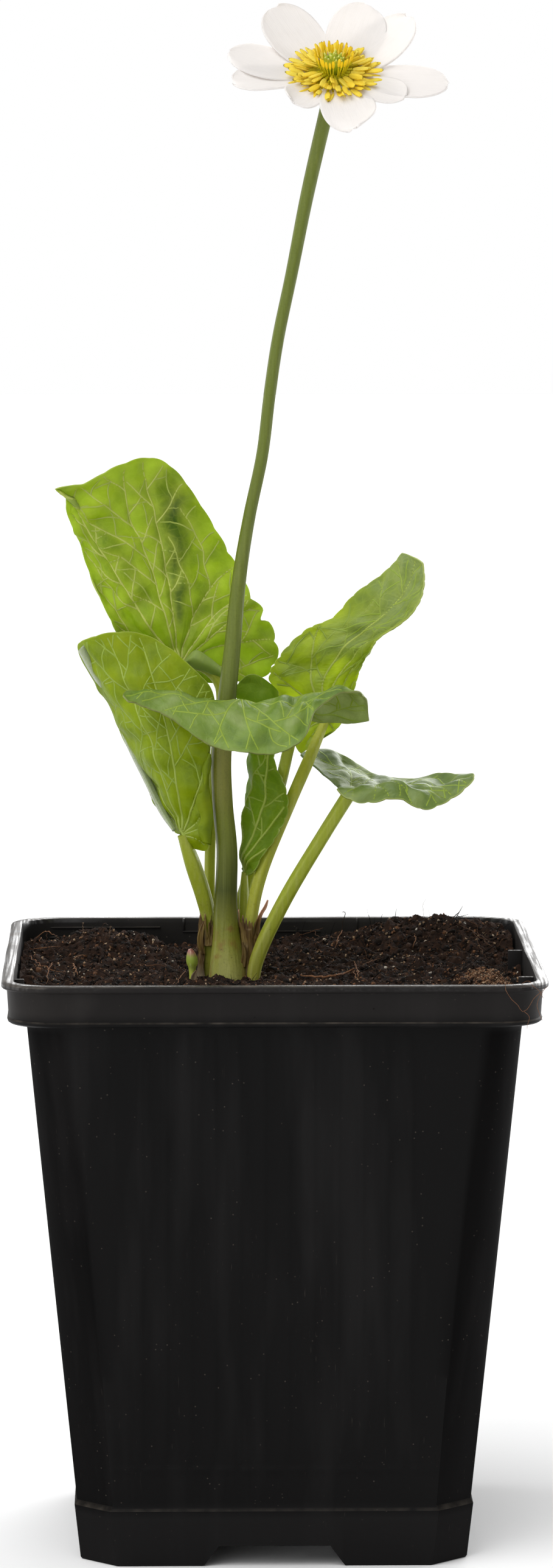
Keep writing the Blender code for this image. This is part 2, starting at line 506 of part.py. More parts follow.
# Each leaf's blade is a fan of rays from its joint with the stalk to its margin, or a row of bands
# across it. Then come the stalk's points, from the blade down to its foot, and their radii.
LEAVES = {
    "leaf_back_left": dict(
        joint=(-15.25, 8, 146.75), teeth=26,
        rays=[
            [(-12.8, 8.7, 145.2), (-11.2, 9.4, 143.4)],
            [(-8.5, 11, 146.2), (-1, 13.5, 144.25)],
            [(-7.25, 11.5, 148.75), (1.5, 14, 148.75)],
            [(-7.5, 10.5, 151.5), (-0.5, 13, 155)],
            [(-8.5, 10, 154.75), (-3, 11.5, 158.5)],
            [(-10.25, 10, 158.75), (-6.25, 12, 164.5)],
            [(-12.75, 9, 162), (-10.75, 11, 172.25)],
            [(-15, 8, 164.25), (-16, 9, 179.75)],
            [(-17.5, 7, 164.75), (-20.5, 6, 182.25)],
            [(-19.6, 6.2, 163.75), (-23.5, 4, 173), (-26, 2.5, 181)],
            [(-21, 5.7, 162.2), (-26.2, 2.9, 171.8), (-31, -0.5, 178.5)],
            [(-22.1, 5.5, 160.6), (-28.6, 2.2, 169.8), (-36, -2, 177.5)],
            [(-23.1, 5.6, 158.6), (-30, 3, 167.6), (-34.5, 0.6, 173.5)],
            [(-23.75, 6, 156), (-32.75, 4, 169.25)],
            [(-22.75, 7, 153.5), (-31, 5, 163.5)],
            [(-21.25, 7, 150.75), (-28.5, 5, 157.5)],
            [(-18.75, 8, 148), (-24.75, 7, 150.25)],
            [(-16.75, 9, 146), (-19, 9.5, 144.75)],
        ],
        stalk=[(-15.25, 8, 146.75), (-11.25, 7.5, 146.4), (-8.6, 7, 143.5), (-8.4, 6, 138.75),
               (-9.5, 5.2, 129.75), (-10.2, 5.1, 117.25), (-10.4, 5.1, 104.75), (-10.4, 5.1, 94),
               (-10.4, 5.1, WELL_FLOOR + GAP)],
        radii=[0.5, 0.85, 0.9, 0.9, 0.9, 0.9, 0.9, 0.9, 0.9]),
    "leaf_left": dict(
        joint=(-15, -1, 118.75), teeth=22,
        rays=[
            [(-16.8, 2, 119.5), (-19.8, 5, 121.5)],
            [(-20.2, 4, 125.75), (-25.7, 9, 133.25)],
            [(-22.9, 4, 131.75), (-32.6, 8, 148)],
            [(-22, 0, 134.25), (-30.9, 4, 151.75)],
            [(-20, -2, 136), (-26, 2, 153)],
            [(-17.25, -3, 136.5), (-20.25, 1, 152.25)],
            [(-14.5, -3.5, 134.5), (-14, -0.25, 147.75)],
            [(-12.25, -3.5, 130.75), (-9.6, -1.2, 142.25)],
            [(-11.75, -3.2, 126.75), (-10.4, -2.2, 132.5)],
            [(-12.25, -2.8, 122), (-10.6, -2.2, 124.25)],
            [(-12.75, -2.4, 118.25), (-10.5, -2.4, 116.75)],
            [(-14, -1.2, 117.75), (-13.25, -0.4, 116.5)],
        ],
        stalk=[(-15, -1, 118.75), (-13.25, 0, 113.5), (-11.5, 1.2, 108), (-10.5, 2.2, 103.25),
               (-10.4, 2.5, 98), (-10.6, 2.7, 94), (-10.6, 2.7, WELL_FLOOR + GAP)],
        radii=[0.9, 1.35, 1.35, 1.2, 1.15, 1.1, 1.1]),
    "leaf_front": dict(
        teeth=20,
        bands=[
            [(-24.0, -5.2, 143.4), (-24.6, -6.1, 143.4), (-25, -7, 143), (-24.7, -7.8, 142.6),
             (-24.1, -8.6, 142)],
            [(-20.8, -4, 143.2), (-21, -5.4, 143.6), (-21.3, -6.8, 143.2), (-21.6, -7.8, 142.4),
             (-21.9, -8.6, 141.5)],
            [(-15.5, -3.5, 142.6), (-15.7, -4.6, 143.3), (-16, -6.4, 143.2), (-16.4, -8.3, 141.6),
             (-16.8, -9.6, 139.2)],
            [(-10.8, -3.4, 141.6), (-10.8, -4.8, 142.2), (-10.8, -7.2, 141.8), (-10.6, -9.6, 139),
             (-10.5, -11, 135)],
            [(-6, -3.2, 141.2), (-6, -4.8, 141.9), (-5.8, -7.8, 141.2), (-5.4, -10.8, 138),
             (-4.6, -12.4, 133.9)],
            [(-1.2, -2.0, 140.8), (-1.2, -4.4, 142), (-1, -8.2, 141), (-0.4, -11.6, 138),
             (0.6, -13, 133.8)],
            [(2.6, 0.6, 139.8), (2.4, -2.6, 142.2), (2.8, -6.6, 142.2), (3.6, -10.6, 140),
             (4.9, -13, 136)],
            [(6.4, 3, 138), (6.4, -0.6, 142), (6.8, -4, 143), (7.2, -7, 142.6), (7.6, -9.6, 141)],
            [(10.4, 4.6, 137.2), (10.6, 1, 141), (10.9, -2.2, 143.6), (11, -4.8, 144),
             (11, -7.2, 143)],
            [(14.4, 5, 137.3), (14.9, 2.4, 139.6), (15.1, -0.6, 141.8), (14.8, -3.4, 143.4),
             (14.2, -5.4, 143.6)],
            [(15.4, 4.6, 137.8), (16, 2.8, 139), (16.2, 0.6, 140.2), (16, -1.6, 141.6),
             (15.2, -3.6, 142.6)],
        ],
        stalk=[(4.5, 0.9, 139.9), (4.3, 2.2, 138), (2.9, 3.8, 132.5), (1.4, 5.3, 126),
               (-0.5, 5.7, 121), (-4.0, 6, 110), (-6.2, 4.9, 103), (-7.2, 4.6, 94),
               (-7.2, 4.6, WELL_FLOOR + GAP)],
        radii=[0.5, 0.8, 0.95, 1.0, 1.0, 1.0, 0.95, 0.95, 0.95]),
    "leaf_right_tall": dict(
        teeth=20,
        bands=[
            [(4.9, 8.6, 131.4), (5.8, 8.9, 131.9), (7, 9.1, 132.7), (8.2, 9.2, 133.6),
             (9.2, 9.2, 134.4)],
            [(3.4, 9.4, 135), (5.4, 9.4, 134.9), (8.2, 9.4, 135.2), (10.4, 9.2, 135.6),
             (12, 9, 136.5)],
            [(1.75, 11, 139.25), (5.5, 10.5, 138.5), (9.5, 9.3, 138), (11.8, 8.8, 139),
             (14, 8.5, 141.5)],
            [(-0.25, 11.5, 144.25), (5, 10.8, 143.8), (10.5, 9.5, 143.5), (13.2, 8.2, 144.5),
             (15.5, 7, 146.75)],
            [(1.75, 11.5, 148.25), (7, 10.6, 148), (12, 9, 148), (15, 6, 148.8), (17, 2.5, 149.8)],
            [(6, 11.5, 152.5), (10, 10, 151.6), (14.2, 7.5, 151.2), (16.6, 4.4, 151.6),
             (18.2, 0.6, 152)],
            [(10.5, 11, 154.5), (13.8, 8.8, 154.2), (17, 5.8, 154.3), (19.6, 2.4, 154),
             (22.2, -1, 154.8)],
            [(14.25, 9, 158.75), (17.2, 6.8, 157.9), (19.8, 4, 157), (22.2, 1, 156.8),
             (24.6, -2, 157.6)],
            [(19.5, 7, 162.75), (21, 4.8, 161.8), (22.6, 2.8, 160.8), (24.3, 0.8, 160.3),
             (25.8, -1, 161)],
            [(22.3, 5.4, 166), (23.1, 4.2, 165.9), (24, 3.0, 165.6), (24.9, 1.8, 165.2),
             (25.7, 0.8, 164.6)],
        ],
        stalk=[(9.5, 9, 137.5), (6.3, 5.6, 130.5), (3.25, 3.6, 123.75), (-1.5, 1.5, 112.5),
               (-3.5, 0.5, 103.75), (-4.2, 0.3, 94), (-4.2, 0.3, WELL_FLOOR + GAP)],
        radii=[0.7, 1.0, 1.0, 1.05, 1.05, 1.05, 1.05]),
    "leaf_right_low": dict(
        joint=(13, -2, 125.5), teeth=22,
        rays=[
            [(10.25, 5, 127.25), (5, 12, 131)],
            [(11, 6.5, 128), (7.75, 15, 131.5)],
            [(12.5, 7, 128), (10.25, 17, 131.5)],
            [(14.75, 6, 127.25), (15.75, 16, 128.5)],
            [(17.5, 4, 126.75), (21.5, 12, 126.75)],
            [(20, 2, 126.75), (25.75, 4, 127.25), (28.75, 6, 128.25)],
            [(20.5, 0, 127.25), (27.75, -1, 127.25), (34.5, -2, 128.75)],
            [(20, -3, 127.75), (26, -5, 127), (29.75, -6, 125)],
            [(18.75, -5, 128), (23, -8, 127.75), (26, -9, 123.5)],
            [(17, -6, 128), (21.75, -11, 126.25)],
            [(15.25, -6, 128), (16.5, -12, 126)],
            [(13.75, -6, 127.75), (13, -11, 126.5)],
            [(12.25, -5, 127.5), (10.75, -7, 127)],
        ],
        stalk=[(13, -2, 125.5), (8.75, -2.4, 118.75), (2.75, -2.8, 108.75), (-1.8, -3, 99.5),
               (-3.1, -3.2, 94), (-3.1, -3.2, WELL_FLOOR + GAP)],
        radii=[1.15, 1.15, 1.2, 1.2, 1.1, 1.1]),
    "leaf_centre": dict(
        teeth=16,
        bands=[
            [(-5.0, 3.6, 112.6), (-4.7, 3.0, 111.6), (-4.3, 2.2, 111.5), (-3.6, 1.0, 111.8),
             (-3.0, 0, 112.5)],
            [(-4.9, 4.8, 116.5), (-4.6, 3.9, 116), (-3.6, 2.0, 116), (-1.8, 0.7, 116),
             (-0.3, 0.1, 116.5)],
            [(-4.3, 5.6, 121), (-3.9, 4.4, 120.5), (-2.8, 2.4, 120), (-0.6, 1.0, 119.6),
             (1.6, 0.2, 119.4)],
            [(-3.9, 6.3, 125.5), (-3.6, 4.8, 125), (-2.4, 2.8, 124.4), (0.2, 1.5, 123.8),
             (3, 0.8, 123.2)],
            [(-3.8, 6.8, 129.5), (-3.4, 5.4, 129), (-2.3, 3.7, 128.5), (0, 2.5, 127.8),
             (2.3, 1.8, 127.2)],
            [(-3.9, 7.4, 133), (-3.6, 6.2, 132.6), (-2.8, 4.9, 132.2), (-1.0, 4.0, 131.4),
             (0.8, 3.4, 130.6)],
            [(-5.2, 7.8, 138), (-4.2, 7, 137.5), (-2.7, 6.2, 137), (-1, 5.8, 136.6),
             (0.9, 5.6, 136)],
            [(-6.1, 7.8, 142.2), (-4.6, 7.8, 142.6), (-3, 7.8, 142.6), (-1, 8, 142.2),
             (1.6, 8.3, 141.2)],
            [(-5.4, 7.9, 143.8), (-4.2, 8, 144.9), (-3, 8.2, 145.2), (-1.5, 8.4, 144.6),
             (0.4, 8.6, 143.2)],
        ],
        stalk=[(-4.5, 2.5, 112), (-4.6, 3.0, 108), (-4.7, 3.2, 103.25), (-4.9, 3.3, 94),
               (-4.9, 3.3, WELL_FLOOR + GAP)],
        radii=[0.5, 0.8, 0.85, 0.85, 0.85]),
}


def split_faces(verts, first, lines, size):
    """Triangles between lines of points, each four-cornered cell cut along its short diagonal."""
    faces = []
    for k in range(lines - 1):
        a = first + k * size
        b = a + size
        for row in range(size - 1):
            w, x, y, z = a + row, a + row + 1, b + row + 1, b + row
            if (verts[w] - verts[y]).length < (verts[x] - verts[z]).length:
                faces += [(w, x, y), (w, y, z)]
            else:
                faces += [(w, x, z), (x, y, z)]
    return faces


def fan_blade(name, joint, rays, teeth):
    """A round blade: smooth rays from the stalk's end to a toothed margin."""
    lines = []
    for ray in rays:
        whole = [joint] + ray
        lines.append([smooth(whole, t) for t in even_steps(whole, BLADE_ROWS)])
    count = 2 * teeth + 1
    size = len(BLADE_ROWS)
    verts = [Vector(joint)]
    margin = [line[-1] for line in lines]
    for k, t in enumerate(even_steps(margin, [i / (count - 1) for i in range(count)])):
        line = [smooth([ray[row] for ray in lines], t) for row in range(size)]
        if k % 2 == 0:
            line[-1] -= TOOTH * (line[-1] - line[-2]).normalized()
        verts += line
    faces = [(0, 1 + k * size, 1 + (k + 1) * size) for k in range(count - 1)]
    faces += split_faces(verts, 1, count, size)
    return thicken(add_object(name, mesh_from(name, verts, faces), plant_parts), BLADE)


def band_blade(name, bands, teeth):
    """A long folded blade: smooth bands across it, one after the other, with toothed ends."""
    count = 2 * teeth + 1
    size = BAND_POINTS
    cross = [[smooth(band, t) for t in even_steps(band, [i / (size - 1) for i in range(size)])]
             for band in bands]
    middle = [band[size // 2] for band in cross]
    verts = []
    for k, t in enumerate(even_steps(middle, [i / (count - 1) for i in range(count)])):
        line = [smooth([band[row] for band in cross], t) for row in range(size)]
        if k % 2 == 0:
            line[0] -= TOOTH * (line[0] - line[1]).normalized()
            line[-1] -= TOOTH * (line[-1] - line[-2]).normalized()
        verts += line
    faces = split_faces(verts, 0, count, size)
    return thicken(add_object(name, mesh_from(name, verts, faces), plant_parts), BLADE)


def make_leaf(name, stalk, radii, teeth, joint=None, rays=None, bands=None):
    """A blade and its stalk, which grew as one piece."""
    blade = band_blade(name, bands, teeth) if bands else fan_blade(name, joint, rays, teeth)
    return fuse(blade, [curved_tube(name + "_stalk", stalk, radii, plant_parts, STALK_RINGS)])


# Dry sheath: the papery brown leaf bases that wrap the crown, open at the front.
SHEATH_PATH = [(-5.9, -2.55, 0), (-4.1, -1.7, 0), (-2.4, -0.9, 0), (-2.2, 1.5, 0), (-2.9, 4.3, 0),
               (-5.6, 6.6, 0), (-9.0, 7.1, 0), (-12.2, 6.1, 0), (-13.4, 3.1, 0), (-12.9, 0.4, 0)]
SHEATH_TOPS = [96.5, 101, 103.5, 102, 103.5, 101.5, 102.5, 103, 102, 98]
SHEATH_THICK = 0.5
SHEATH_TEAR = 0.8
SHEATH_COLUMNS = 28
SHEATH_ROWS = 5


def make_sheath():
    """A thin standing wall along the path, with a torn top edge."""
    columns = SHEATH_COLUMNS
    rows = SHEATH_ROWS
    verts = []
    tops = [(z, 0, 0) for z in SHEATH_TOPS]
    for k in range(columns + 1):
        t = k / columns * (len(SHEATH_PATH) - 1)
        foot = smooth(SHEATH_PATH, t)
        top = smooth(tops, t).x + SHEATH_TEAR * math.sin(2.7 * k) * math.sin(1.3 * k)
        for row in range(rows):
            share = row / (rows - 1)
            z = WELL_FLOOR + GAP + (top - WELL_FLOOR - GAP) * share
            verts.append((foot.x, foot.y, z))
    faces = []
    for k in range(columns):
        for row in range(rows - 1):
            a = k * rows + row
            faces.append((a, a + rows, a + rows + 1))
            faces.append((a, a + rows + 1, a + 1))
    sheath = add_object("dry_sheath", mesh_from("dry_sheath", verts, faces), plant_parts)
    return thicken(sheath, SHEATH_THICK)


def make_bud():
    """A small pale shoot that stands in the soil beside the crown."""
    x, y, z = BUD_FOOT
    path = [(x, y, z), (x, y, SOIL_LEVEL), (x + 0.5, y - 0.2, 96.4), (x + 0.8, y - 0.4, 98),
            (x + 0.7, y - 0.4, 98.8)]
    return curved_tube("bud", path, [0.7, 0.8, 1.05, 0.75, 0.2], plant_parts, 9)


for old in list(bpy.data.objects):
    bpy.data.objects.remove(old)
plant_parts = bpy.data.collections.new("potted_marsh_marigold")
cutters = bpy.data.collections.new("cutters")
for holder in (plant_parts, cutters):
    bpy.context.scene.collection.children.link(holder)

black_plastic = paint("black_plastic", (0.012, 0.013, 0.016), 0.45)
peat = paint("peat", (0.03, 0.018, 0.012), 0.95)
stem_green = paint("stem_green", (0.16, 0.2, 0.06), 0.45)
petal_white = paint("petal_white", (0.86, 0.85, 0.82), 0.55)
stamen_yellow = paint("stamen_yellow", (0.85, 0.6, 0.04), 0.6)
carpel_green = paint("carpel_green", (0.42, 0.5, 0.06), 0.5)
leaf_green = paint("leaf_green", (0.2, 0.33, 0.04), 0.5)
dry_brown = paint("dry_brown", (0.2, 0.12, 0.06), 0.85)
bud_green = paint("bud_green", (0.35, 0.4, 0.1), 0.6)

finished = [
    (make_pot(), black_plastic),
    (make_soil(), peat),
    (make_stem(), stem_green),
    (make_petals(), petal_white),
    (make_stamens(), stamen_yellow),
    (make_carpels(), carpel_green),
    (make_sheath(), dry_brown),
    (make_bud(), bud_green),
]
finished += [(make_leaf(name, **leaf), leaf_green) for name, leaf in LEAVES.items()]
for obj, finish in finished:
    obj.data.materials.clear()
    obj.data.materials.append(finish)
    obj.data.shade_smooth()
    obj.data.set_sharp_from_angle(angle=math.radians(40))
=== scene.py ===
"""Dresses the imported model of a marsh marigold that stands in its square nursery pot.

The pieces come in the order in which the plant is potted and grows: pot, peat, dry leaf bases,
leaves, shoot, stalk and flower. Sizes are in millimetres; MM turns them into Blender's metres.
"""

import bmesh
import bpy
import math
import numpy as np
from mathutils import Matrix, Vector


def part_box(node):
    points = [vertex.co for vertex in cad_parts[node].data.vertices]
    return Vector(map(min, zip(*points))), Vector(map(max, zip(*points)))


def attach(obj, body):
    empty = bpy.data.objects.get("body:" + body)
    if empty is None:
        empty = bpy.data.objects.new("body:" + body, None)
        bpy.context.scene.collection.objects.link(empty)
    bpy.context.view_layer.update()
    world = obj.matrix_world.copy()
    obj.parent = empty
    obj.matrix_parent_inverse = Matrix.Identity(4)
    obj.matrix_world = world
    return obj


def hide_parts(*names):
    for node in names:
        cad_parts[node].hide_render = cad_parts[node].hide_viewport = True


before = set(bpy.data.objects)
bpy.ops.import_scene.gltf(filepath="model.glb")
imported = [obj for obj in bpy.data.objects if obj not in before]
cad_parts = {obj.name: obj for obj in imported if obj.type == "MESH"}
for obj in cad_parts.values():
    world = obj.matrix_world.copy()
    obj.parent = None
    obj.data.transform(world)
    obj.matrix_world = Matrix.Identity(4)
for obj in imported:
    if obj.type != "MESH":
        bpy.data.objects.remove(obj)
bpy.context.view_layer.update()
MM = 0.001

# Pot: a thin black nursery pot, injection-moulded in polypropylene. It is square and flared, with a
# lip over a skirt, faint upright ribs on each face, corners that turn from round to flat, and a base
# cut away between its feet. It replaces the plain solid with the same walls, ribbed and softened.
POT_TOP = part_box("pot")[1][2] / MM
LIP_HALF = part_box("pot")[1][0] / MM
SKIRT_HALF = 44.1
SKIRT_BOTTOM = 92.3
BODY_HALF = 41.0
BASE_HALF = 31.9
STEP_HEIGHT = 10.0
STEP_OUT = 0.4
WALL = 1.2
MIDDLE_HEIGHT = 50.0
FLOOR_TOP = 5.2
FOOT_LIFT = 3.7
FOOT_WIDTH = 6.0
BASE_CORNER = 6.0
NOTCH_LOW = 12.55
NOTCH_HIGH = 9.25
NOTCH_REACH = 37.0
NOTCH_TOP = FOOT_LIFT - 0.2
DRAIN_RADIUS = 3.0
DRAIN_SIDES = 24
DRAINS = [(0, 0), (15, 15), (-15, 15), (-15, -15), (15, -15)]
CORNER_STEPS = 8
CLEAR = 1.0
SLAB_SOFT = 0.12
RIBS = 12
RIB_PITCH = 4.04
RIB_CUTS = (-0.75, -0.4, 0.0, 0.4, 0.75, RIB_PITCH / 2)
RIB_WIDTH = 1.0
RIB_HEIGHT = 0.13
RIB_LOW = 17.7
RIB_HIGH = 90.2
DASH_LOW = 16.3
DASH_HIGH = 16.9
LIP_WAVE = 0.0035
GLOSS_LOW = 98.1
GLOSS_FRONT = -43.0
PAINTED_LIGHT_BELOW = 9.5


class Wire:
    """A node's output that can stand in a sum."""

    def __init__(self, bench, socket):
        self.bench = bench
        self.socket = socket

    def __add__(self, other):
        return maths("ADD", self, other)

    def __radd__(self, other):
        return maths("ADD", other, self)

    def __sub__(self, other):
        return maths("SUBTRACT", self, other)

    def __rsub__(self, other):
        return maths("SUBTRACT", other, self)

    def __mul__(self, other):
        return maths("MULTIPLY", self, other)

    def __rmul__(self, other):
        return maths("MULTIPLY", other, self)

    def __truediv__(self, other):
        return maths("DIVIDE", self, other)

    def __pow__(self, other):
        return maths("POWER", self, other)


def maths(kind, *values):
    """One step of arithmetic on values of which at least one is a wire."""
    bench = [value.bench for value in values if isinstance(value, Wire)][0]
    return bench.add("ShaderNodeMath", dict(enumerate(values)), operation=kind)


def clamp(value):
    """The value kept between 0 and 1."""
    return value.bench.add("ShaderNodeMath", {0: value, 1: 1.0}, operation="MULTIPLY", use_clamp=True)


def past(value, level, slope):
    """0 up to a level, then 1 after a rise of this slope; a slope under 0 works below the level."""
    return clamp((value - level) * slope)


def tint(red, green, blue):
    """A colour for a socket from the 0 to 255 values of a paint chart."""
    chart = [value / 255 for value in (red, green, blue)]
    return tuple(v / 12.92 if v <= 0.04045 else ((v + 0.055) / 1.055) ** 2.4 for v in chart) + (1.0,)


class Bench:
    """A node tree in the making, for a material or for a shape."""

    def __init__(self, tree):
        self.tree = tree

    def add(self, kind, sockets, out=0, **settings):
        """Adds a node with its settings, values and links, and gives one of its outputs."""
        node = self.tree.nodes.new(kind)
        for name, value in settings.items():
            setattr(node, name, value)
        for name, value in sockets.items():
            if isinstance(value, Wire):
                self.tree.links.new(value.socket, node.inputs[name])
            else:
                node.inputs[name].default_value = value
        return Wire(self, node.outputs[out])

    def join(self, x, y, z=0.0):
        """A vector from three numbers."""
        return self.add("ShaderNodeCombineXYZ", {0: x, 1: y, 2: z})

    def parts(self, vector):
        """The three numbers of a vector."""
        first = self.add("ShaderNodeSeparateXYZ", {0: vector})
        return [Wire(self, socket) for socket in first.socket.node.outputs]

    def attribute(self, name, out="Fac"):
        """In a material, a fact that the points of the mesh keep."""
        return self.add("ShaderNodeAttribute", {}, out, attribute_name=name)

    def known(self, name, kind="FLOAT_VECTOR"):
        """In a shape tree, a fact that the points of the mesh keep."""
        return self.add("GeometryNodeInputNamedAttribute", {"Name": name}, data_type=kind)

    def place(self):
        """The place on the piece in millimetres."""
        spot = self.add("ShaderNodeTexCoord", {}, "Object")
        scale = (1 / MM, 1 / MM, 1 / MM)
        return self.add("ShaderNodeMapping", {"Vector": spot, "Scale": scale})

    def noise(self, vector, size, detail=2.0, stretch=None, rough=0.5):
        """A cloudy value round 0.5, its clouds about this many millimetres across."""
        if stretch:
            vector = self.add("ShaderNodeMapping", {"Vector": vector, "Scale": stretch})
        sockets = {"Vector": vector, "Scale": 1 / size, "Detail": detail, "Roughness": rough}
        return self.add("ShaderNodeTexNoise", sockets)

    def cells(self, vector, size, feature="F1"):
        """Distances in a cell pattern, in cells of about this many millimetres."""
        sockets = {"Vector": vector, "Scale": 1 / size}
        return self.add("ShaderNodeTexVoronoi", sockets, "Distance", feature=feature)

    def blend(self, factor, first, second):
        """A colour between two others, each a wire or the values of a paint chart."""
        first, second = [c if isinstance(c, Wire) else tint(*c) for c in (first, second)]
        sockets = {0: factor, 6: first, 7: second}
        return self.add("ShaderNodeMix", sockets, 2, data_type="RGBA", clamp_factor=True)

    def coats(self, colour, *layers):
        """A colour under coats of paint, each with how well it covers and its colour."""
        for factor, chart in layers:
            colour = self.blend(factor, colour, chart)
        return colour

    def ramp(self, factor, *stops):
        """A colour that runs through stops, each with its place from 0 to 1."""
        wire = self.add("ShaderNodeValToRGB", {0: factor})
        elements = wire.socket.node.color_ramp.elements
        while len(elements) < len(stops):
            elements.new(1.0)
        for element, (place, chart) in zip(elements, stops):
            element.position = place
            element.color = tint(*chart)
        return wire


def new_paint(name):
    """An empty material and its bench."""
    material = bpy.data.materials.new(name)
    material.use_nodes = True
    material.node_tree.nodes.clear()
    return material, Bench(material.node_tree)


def finish_paint(bench, colour, rough, shine=0.5, height=None, depth=0.0, glow=None, through=0.0, coat=None):
    """Ends a material: its skin, with bumps this many millimetres high, and light from behind it."""
    sockets = {"Base Color": colour, "Roughness": rough, "Specular IOR Level": shine, **(coat or {})}
    if height:
        sockets["Normal"] = bench.add("ShaderNodeBump", {
            "Height": height, "Distance": depth * MM, "Strength": 1.0})
    shader = bench.add("ShaderNodeBsdfPrincipled", sockets)
    if glow:
        behind = bench.add("ShaderNodeBsdfTranslucent", {"Color": tint(*glow)})
        shader = bench.add("ShaderNodeMixShader", {0: through, 1: shader, 2: behind})
    node = bench.tree.nodes.new("ShaderNodeOutputMaterial")
    bench.tree.links.new(shader.socket, node.inputs["Surface"])


def mesh_of(name, points, faces, material=None, edges=()):
    """A mesh in metres from points in millimetres."""
    mesh = bpy.data.meshes.new(name)
    mesh.from_pydata((np.asarray(points, float) * MM).tolist(), list(edges), faces)
    if material:
        mesh.materials.append(material)
    return mesh


def keep_fact(mesh, name, values):
    """Stores a number or a vector for each point of a mesh."""
    values = np.asarray(values, np.float32)
    kind = "FLOAT_VECTOR" if values.ndim == 2 else "FLOAT"
    layer = mesh.attributes.new(name, kind, "POINT")
    layer.data.foreach_set("vector" if kind == "FLOAT_VECTOR" else "value", values.ravel())


def grid_faces(lines, size, closed=False):
    """Faces between lines of points, each of this size."""
    spots = np.arange(lines * size).reshape(lines, size)
    if closed:
        spots = np.concatenate([spots, spots[:, :1]], axis=1)
    quads = np.stack([spots[:-1, :-1], spots[1:, :-1], spots[1:, 1:], spots[:-1, 1:]], axis=-1)
    return quads.reshape(-1, 4).tolist()


def settle(mesh, angle=35.0):
    """Smooth shading that breaks at edges sharper than the angle."""
    mesh.shade_smooth()
    mesh.set_sharp_from_angle(angle=math.radians(angle))
    return mesh


def shaped(obj):
    """The mesh that an object's modifiers make; the object itself is removed."""
    bpy.context.view_layer.update()
    graph = bpy.context.evaluated_depsgraph_get()
    mesh = bpy.data.meshes.new_from_object(obj.evaluated_get(graph))
    bpy.data.objects.remove(obj)
    return mesh


def stand_in(name, data):
    """An object in the scene that shows a mesh, a light or a camera."""
    obj = bpy.data.objects.new(name, data)
    bpy.context.scene.collection.objects.link(obj)
    return obj


def piece(name, *meshes):
    """One object from meshes that each carry their own materials."""
    work = bmesh.new()
    materials = []
    for mesh in meshes:
        start = len(work.faces)
        work.from_mesh(mesh)
        work.faces.ensure_lookup_table()
        for face in work.faces[start:]:
            face.material_index += len(materials)
        materials += list(mesh.materials)
    whole = bpy.data.meshes.new(name)
    work.to_mesh(whole)
    work.free()
    for material in materials:
        whole.materials.append(material)
    return stand_in(name, whole)


def ripple(places, length, seed):
    """A smooth wandering value between about -1 and 1, in waves about this long."""
    draw = np.random.default_rng(seed)
    total = 0
    for _ in range(7):
        way = draw.normal(size=places.shape[-1])
        way *= 2 * math.pi / (length * draw.uniform(0.6, 1.5) * np.linalg.norm(way))
        total = total + np.sin(places @ way + draw.uniform(0, 2 * math.pi))
    return total / 2.6


def body_half(z):
    """Half the width of the tapered body at a height."""
    return BASE_HALF + (BODY_HALF - BASE_HALF) * z / SKIRT_BOTTOM


rib_middles = (np.arange(RIBS) - (RIBS - 1) / 2) * RIB_PITCH
side_places = [rib_middles + shift for shift in RIB_CUTS]
side_places = np.sort(np.concatenate(side_places + [rib_middles[:1] - RIB_PITCH / 2]))
from_rib = np.min(np.abs(side_places[:, None] - rib_middles), axis=1)
on_rib = (from_rib < RIB_WIDTH / 2).astype(float)


def wall_row(half, corner, chamfer, z, rib=0.0, dash=0.0):
    """One level line round the pot, whose corners go from round to flat as the chamfer grows."""
    share = np.linspace(0, 1, CORNER_STEPS + 1)
    round_x = half - corner + corner * np.cos(share * math.pi / 2)
    round_y = half - corner + corner * np.sin(share * math.pi / 2)
    x = round_x + chamfer * (half - corner * share - round_x)
    y = round_y + chamfer * (half - corner + corner * share - round_y)
    x = np.concatenate([half + rib * on_rib + dash * (1 - on_rib), x])
    y = np.concatenate([side_places, y])
    flat = np.concatenate([np.column_stack(side) for side in ((x, y), (-y, x), (-x, -y), (y, -x))])
    turn = np.arctan2(flat[:, 1], flat[:, 0])
    # The thin lip isn't quite straight: it bows in a little, by more here and by less there.
    wave = 0.5 + 0.3 * np.sin(5 * turn + 0.6) + 0.2 * np.sin(11 * turn + 2.0)
    flat = flat * (1 - LIP_WAVE * max(z / POT_TOP, 0.2) ** 4 * wave[:, None])
    return np.column_stack([flat, np.full(len(flat), z)])


# Height, half width, corner and chamfer of the outer wall, from the foot to the skirt.
WALL_KEYS = np.array([
    (0, BASE_HALF + STEP_OUT - 0.3, 6.0, 1.0), (0.4, BASE_HALF + STEP_OUT, 6.0, 1.0),
    (9.5, body_half(STEP_HEIGHT) + STEP_OUT, 6.0, 0.95), (9.9, body_half(STEP_HEIGHT) + 0.15, 6.0, 0.95),
    (10.3, body_half(STEP_HEIGHT), 6.0, 0.95), (MIDDLE_HEIGHT, body_half(MIDDLE_HEIGHT), 7.0, 0.6),
    (91.9, body_half(91.9), 8.0, 0.1)])
